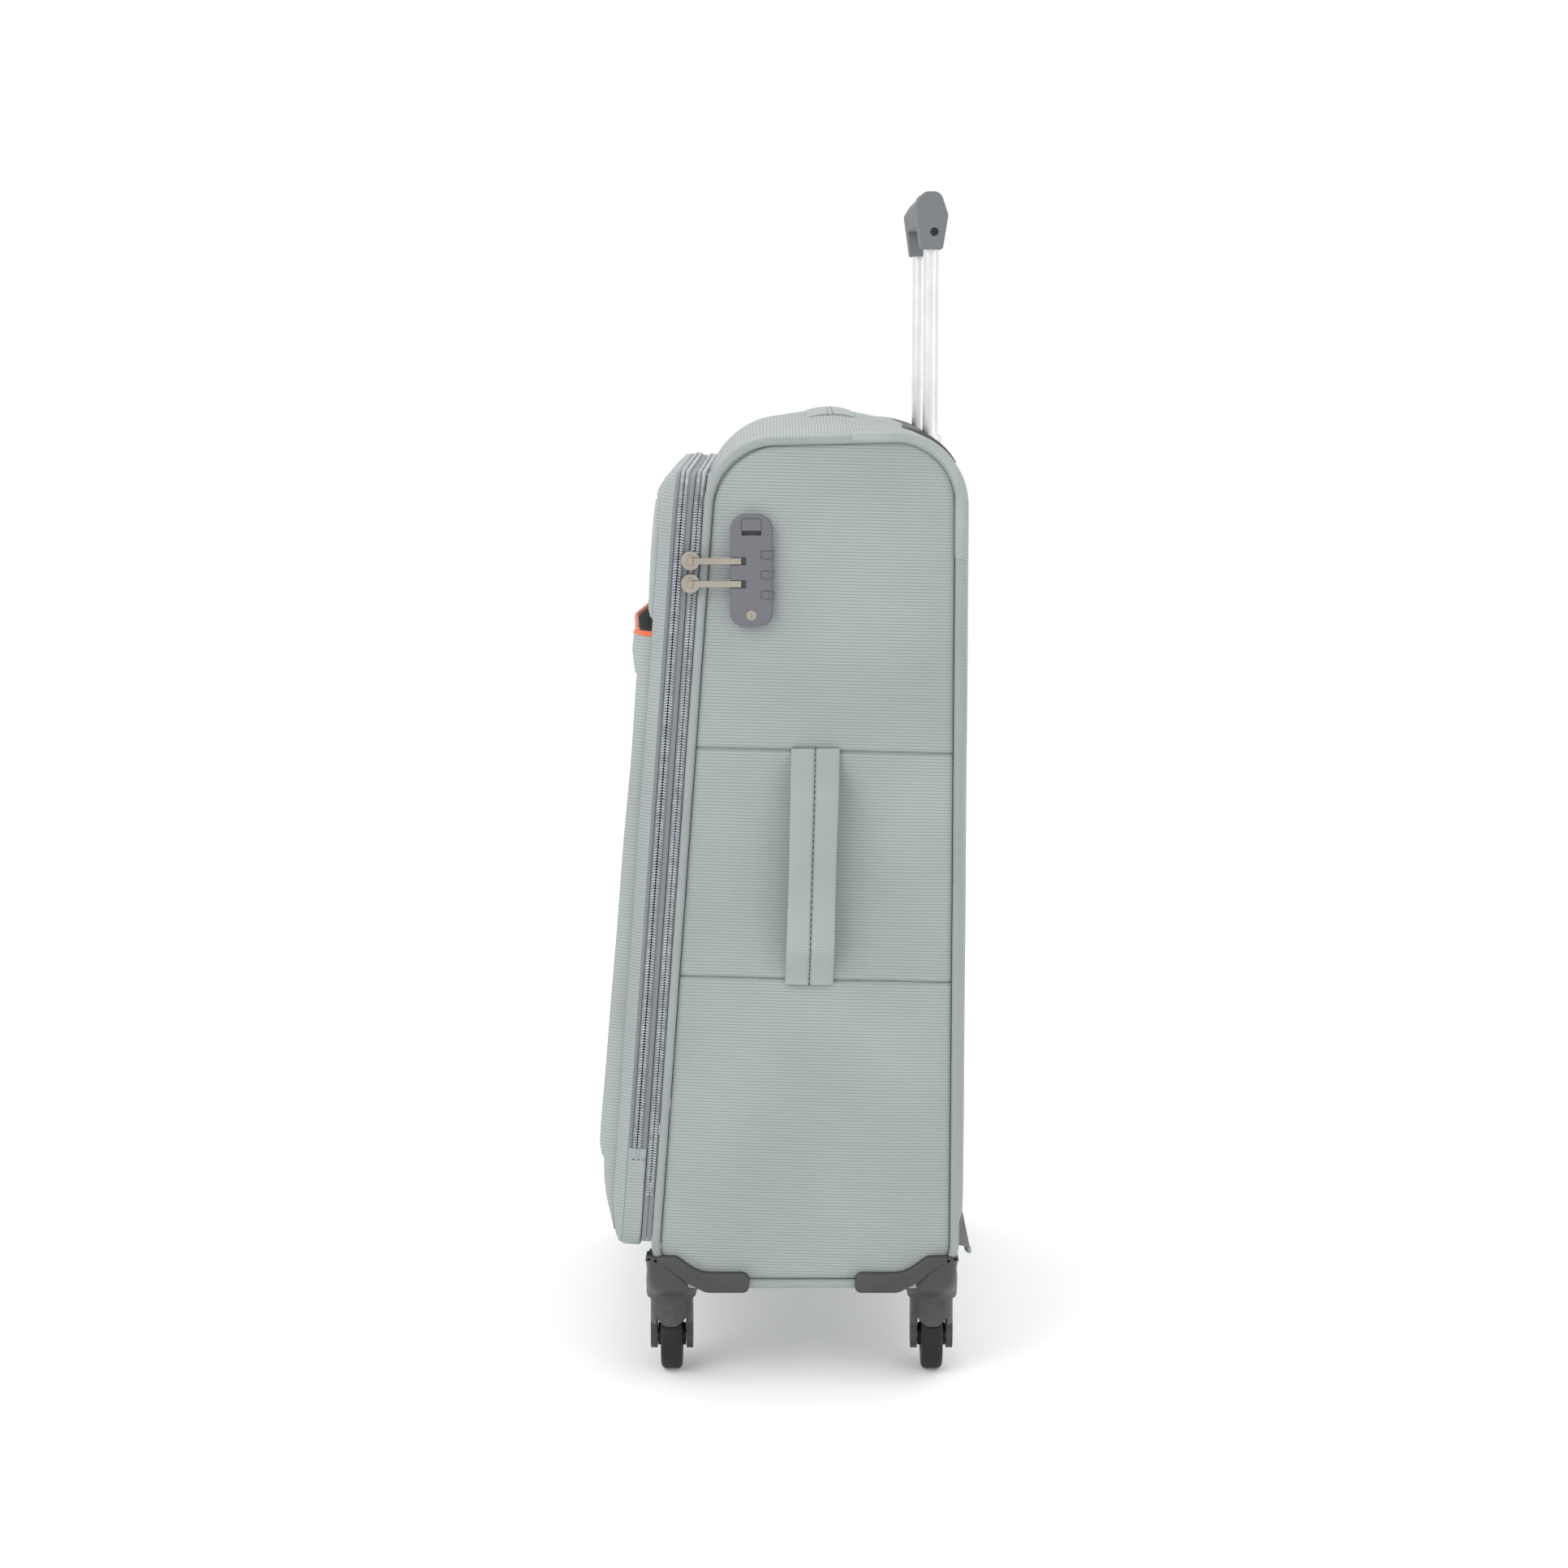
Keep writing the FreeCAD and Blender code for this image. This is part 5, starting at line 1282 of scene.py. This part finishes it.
class SUITCASE_OT_lining(bpy.types.Operator):
    """Lining bag inside the case, open to the front, and the lining behind the lid"""

    bl_idname = "suitcase.lining"
    bl_label = "Lining"

    def execute(self, context):
        z = graded(76.5, 661.0, 9.0, 1.0)
        front = row_ends(z, 6.0, 10.0)[0] + 6.5
        plan, _ = polyline([(207.4, 0), (207.4, 150), (-207.4, 150), (-207.4, 0)], [0, 14, 14, 0], 6)
        rows = []
        squeeze = [(0, 0.15), (0, 0.5), (0, 0.8)] + [(i, 1.0) for i in range(len(z))] + [
            (-1, 0.8), (-1, 0.5), (-1, 0.15)
        ]
        for index, scale in squeeze:
            y = front[index] + (94.0 - front[index]) * plan[:, 1] / 150 * scale
            x = plan[:, 0] * (0.2 + 0.8 * scale) if scale < 1 else plan[:, 0]
            rows.append(on_floor(x, y, np.full(len(plan), z[index])))
        bag = np.stack(rows)
        inside = bag * (0.995, 1, 1) - (0, 1.1, 0)
        surface = Surface()
        surface.slab(bag, inside)
        make("lining_bag", surface, [finish("lining_cloth")], "case", ["lining"])
        s = graded(LID_FOOT + 4, LID_HEAD - 4, 9, 1.0)
        x = lid_half_at(s, 4.0)[:, None] * np.linspace(-1, 1, 60)[None, :]
        ss = np.broadcast_to(s[:, None], x.shape)
        depth = lid_depth(x, ss, 4.0)
        n = 18.6 + 0.4 * ripple(x, ss, (90.0, 130.0), 44) * rounding(depth, 40)
        back = Surface()
        back.slab(on_front(x, ss, n + 0.8), on_front(x, ss, n - 0.4))
        make("lid_lining", back, [finish("lining_cloth")], "front")
        return {"FINISHED"}


class SUITCASE_OT_side_handle(bpy.types.Operator):
    """Carrying handle on the side: a strap folded to the middle and sewn, ending under the seams"""

    bl_idname = "suitcase.side_handle"
    bl_label = "Side handle"

    def execute(self, context):
        z = np.linspace(STRAP_FOOT, STRAP_HEAD, 72)
        t = (z - STRAP_FOOT) / (STRAP_HEAD - STRAP_FOOT)
        stand = STRAP_STAND * np.minimum(
            1, smooth(np.minimum(t, 1 - t) / 0.2)
        ) * (1 - 0.08 * (2 * t - 1) ** 2)
        middle = 17.4 + 4.2 * t
        width = 33.8 - 1.4 * dip(t - 0.5, 0.4)
        a = np.linspace(0, 2 * np.pi, 120, endpoint=False)
        c, sn = np.cos(a), np.sin(a)
        across_y = np.sin(
            np.pi / 2 * np.sign(c) * np.abs(c) ** 1.2
        ) * 0.5 + 0.5 * np.sign(c) * np.abs(c) ** 0.7
        thick = np.sign(sn) * np.abs(sn) ** 0.7
        lobes = 1 - 0.62 * dip(across_y, 0.06) - 0.10 * dip(np.abs(across_y) - 1, 0.2)
        surface = Surface()
        path = np.stack([213.0 + stand, z], 1)
        ahead = unit(np.gradient(path, axis=0))
        out = np.stack([ahead[:, 1], -ahead[:, 0]], 1)
        high_half = 3.1 * thick * lobes
        x = path[:, None, 0] + out[:, None, 0] * high_half[None, :]
        zz = path[:, None, 1] + out[:, None, 1] * high_half[None, :]
        y = middle[:, None] + width[:, None] / 2 * across_y[None, :]
        surface.grid(np.stack([x, y, zz], -1), close_v=True, caps=True, uv=self.flat(z, y))
        row = path + out * 1.5
        stitches(surface, np.stack([row[:, 0], middle, row[:, 1]], 1), 2.9, 1.1, 0.9)
        strap = make(
            "side_strap",
            surface,
            [finish("strap_cloth"), finish("sewing_thread")],
            "case",
            ["side_handle"]
        )
        return {"FINISHED"}

    def flat(self, z, y):
        v = np.concatenate([z[:, None] + 0 * y, z[:, None]], 1)
        u = np.concatenate([y, y[:, :1]], 1)
        return np.stack([u, v], -1)


class SUITCASE_OT_top_handle(bpy.types.Operator):
    """Low padded handle across the dome"""

    bl_idname = "suitcase.top_handle"
    bl_label = "Top handle"

    def execute(self, context):
        x = np.linspace(-95, 95, 90)
        t = (x + 95) / 190
        rise = 0.3 * smooth(np.minimum(t, 1 - t) / 0.16)
        a = np.linspace(0, 2 * np.pi, 56, endpoint=False)
        c, sn = np.cos(a), np.sin(a)
        y = TOP_Y + 17.0 * np.sign(c) * np.abs(c) ** 0.9
        lens = 1.1 * sn * (1 - 0.25 * dip(c, 0.10))
        padding = rise[:, None] * (1 - 0.9 * c**2)[None, :]
        z = dome_height(x[:, None], y[None, :]) + padding + lens[None, :] - 0.4
        points = np.stack(np.broadcast_arrays(x[:, None], y[None, :], z), -1)
        surface = Surface()
        around = np.append(y, y[0])[None, :]
        surface.grid(
            points, close_v=True, caps=True, uv=np.stack(np.broadcast_arrays(x[:, None], around), -1)
        )
        for offset in (-1.6, 1.6):
            top = dome_height(x, TOP_Y + offset) + rise + 0.5
            stitches(surface, np.stack([x, np.full(len(x), TOP_Y + offset), top], 1), 2.6, 0.55, 0.5)
        strap = make(
            "top_strap",
            surface,
            [finish("strap_cloth"), finish("sewing_thread")],
            "case",
            ["top_handle"]
        )
        return {"FINISHED"}


class SUITCASE_OT_caster_shoes(bpy.types.Operator):
    """Moulded corner shoes: two wings round the case's corner, over a bell that holds the caster"""

    bl_idname = "suitcase.caster_shoes"
    bl_label = "Caster shoes"

    def execute(self, context):
        for name in ("front_right", "front_left", "rear_right", "rear_left"):
            fork_low, fork_high = low("fork_" + name), high("fork_" + name)
            axis_y = (fork_low[1] + fork_high[1]) / 2
            side = 1 if fork_high[0] > 0 else -1
            turn = 1 if axis_y < 0 else -1
            surface = Surface()
            place = self.placed(side, turn, axis_y)
            surface.boss(self.wing(), WING_EDGE, lambda a, b, h: place(h + WING_X, a, b))
            across_x = self.wing() * (-1, 1) + (205.6, 0)
            surface.boss(across_x[::-1], WING_EDGE, lambda a, b, h: place(a, WING_V - h, b))
            surface.grid(self.bell(place), close_v=True, caps=True)
            make(
                "shoe_" + name,
                surface,
                [finish("shoe_plastic")],
                "case",
                ["caster_housing_" + name]
            )
        return {"FINISHED"}

    def placed(self, side, turn, axis_y):
        return lambda x, v, z: np.stack(np.broadcast_arrays(side * x, axis_y + turn * v, z), -1)

    def wing(self):
        """Wing outline (v inwards from the swivel axis, z): an arched band with a round end."""
        corners = [
            (-9.5, 90.0),
            (0, 84.5),
            (11, 75),
            (25, 67.4),
            (55.6, 67.4),
            (55.6, 81.6),
            (21, 81.6),
            (4.5, 93.6),
            (-10.5, 93.6)
        ]
        return loop(corners, [2, 12, 14, 12, 4.5, 5.5, 24, 5, 2.2], 1.0)[0]

    def bell(self, place):
        """Superellipse rings stacked from the round collar up into the squarer corner of the case."""
        z = np.array([57.2, 56.6, 57.6, 60, 62.5, 65, 68, 72, 76, 80, 84, 88, 91, 92.8, 93.2])
        knots = [56, 60, 64, 70, 76, 82, 88, 93.2]
        mid_x = np.interp(z, knots, [184, 184.5, 186.5, 189, 195, 201, 206, 209])
        half_x = np.interp(z, knots, [17.8, 18.8, 22.5, 27.6, 22, 16, 11, 7.5])
        mid_v = np.interp(z, knots, [0, 0.1, 1.2, 2.2, -0.8, -4.2, -6.6, -8])
        half_v = np.interp(z, knots, [17.4, 18.0, 18.9, 19.8, 16.4, 12.2, 9.2, 6.5])
        half_x[0], half_v[0] = half_x[0] - 1.0, half_v[0] - 1.0
        half_x[-1], half_v[-1] = half_x[-1] - 1.0, half_v[-1] - 1.0
        power = np.interp(z, knots, [2, 2.1, 2.4, 3, 3.4, 3.8, 4.2, 4.2])
        rings = []
        for i in range(len(z)):
            ring = oval(2 * half_x[i], 2 * half_v[i], power[i], 56)
            rings.append(place(ring[:, 0] + mid_x[i], ring[:, 1] + mid_v[i], np.full(56, z[i])))
        return np.stack(rings)


class SUITCASE_OT_hardware(bpy.types.Operator):
    """Finishes for the moulded and metal parts"""

    bl_idname = "suitcase.hardware"
    bl_label = "Hardware finishes"

    def execute(self, context):
        corners = [f"{a}_{b}" for a in ("front", "rear") for b in ("right", "left")]
        dress("shoe_plastic", *[f"fork_{corner}" for corner in corners])
        dress("tyre_rubber", *[f"wheel_{corner}" for corner in corners])
        dress(
            "bright_steel",
            *[f"axle_{corner}" for corner in corners],
            "kingpins",
            "push_rods",
            "button_spring"
        )
        dress("black_steel", "grip_screws")
        dress("satin_tube", "outer_tubes", "middle_tubes", "inner_tubes")
        dress("grip_plastic", "grip_body", "grip_cover")
        dress("dark_plastic", "trolley_bezel", "trolley_foot_bracket", "side_feet", "grip_button")
        dress(
            "lock_plastic",
            "lock_body",
            "lock_release_button",
            "lock_dial_upper",
            "lock_dial_middle",
            "lock_dial_lower"
        )
        dress("nickel_plate", "zip_sliders", "zip_pull_upper", "zip_pull_lower", "key_cylinder")
        return {"FINISHED"}


class SUITCASE_PT_panel(bpy.types.Panel):
    """Buttons and settings of the suitcase"""

    bl_idname = "SUITCASE_PT_panel"
    bl_label = "Suitcase"
    bl_space_type = "VIEW_3D"
    bl_region_type = "UI"
    bl_category = "Suitcase"

    def draw(self, context):
        layout = self.layout
        for operator in OPERATORS:
            layout.operator(operator.bl_idname)
        for settings in (
            context.scene.suitcase_fabric, context.scene.suitcase_shape, context.scene.suitcase_hardware
        ):
            box = layout.box()
            for name in settings.bl_rna.properties.keys():
                if name not in ("rna_type", "name"):
                    box.prop(settings, name)


OPERATORS = (
    SUITCASE_OT_stage,
    SUITCASE_OT_side_panels,
    SUITCASE_OT_belt,
    SUITCASE_OT_piping,
    SUITCASE_OT_front_frame,
    SUITCASE_OT_zips,
    SUITCASE_OT_lid,
    SUITCASE_OT_front_panel,
    SUITCASE_OT_upper_pocket,
    SUITCASE_OT_lower_pocket,
    SUITCASE_OT_lining,
    SUITCASE_OT_side_handle,
    SUITCASE_OT_top_handle,
    SUITCASE_OT_caster_shoes,
    SUITCASE_OT_hardware,
)
SETTINGS = {
    "suitcase_fabric": FabricSettings,
    "suitcase_shape": ShapeSettings,
    "suitcase_hardware": HardwareSettings,
}


def register():
    for kind in (*SETTINGS.values(), *OPERATORS, SUITCASE_PT_panel):
        bpy.utils.register_class(kind)
    for name, kind in SETTINGS.items():
        setattr(bpy.types.Scene, name, PointerProperty(type=kind))


def unregister():
    for name in SETTINGS:
        delattr(bpy.types.Scene, name)
    for kind in (SUITCASE_PT_panel, *reversed(OPERATORS), *SETTINGS.values()):
        bpy.utils.unregister_class(kind)


def main():
    register()
    # Shader groups: ribbed weave, fine twill, moulded grain, and the mask of the painted edge highlight.
    rib_group()
    twill_group()
    grain_group()
    edge_highlight_group()
    for operator in OPERATORS:
        family, name = operator.bl_idname.split(".")
        getattr(getattr(bpy.ops, family), name)()


if __name__ == "__main__":
    main()
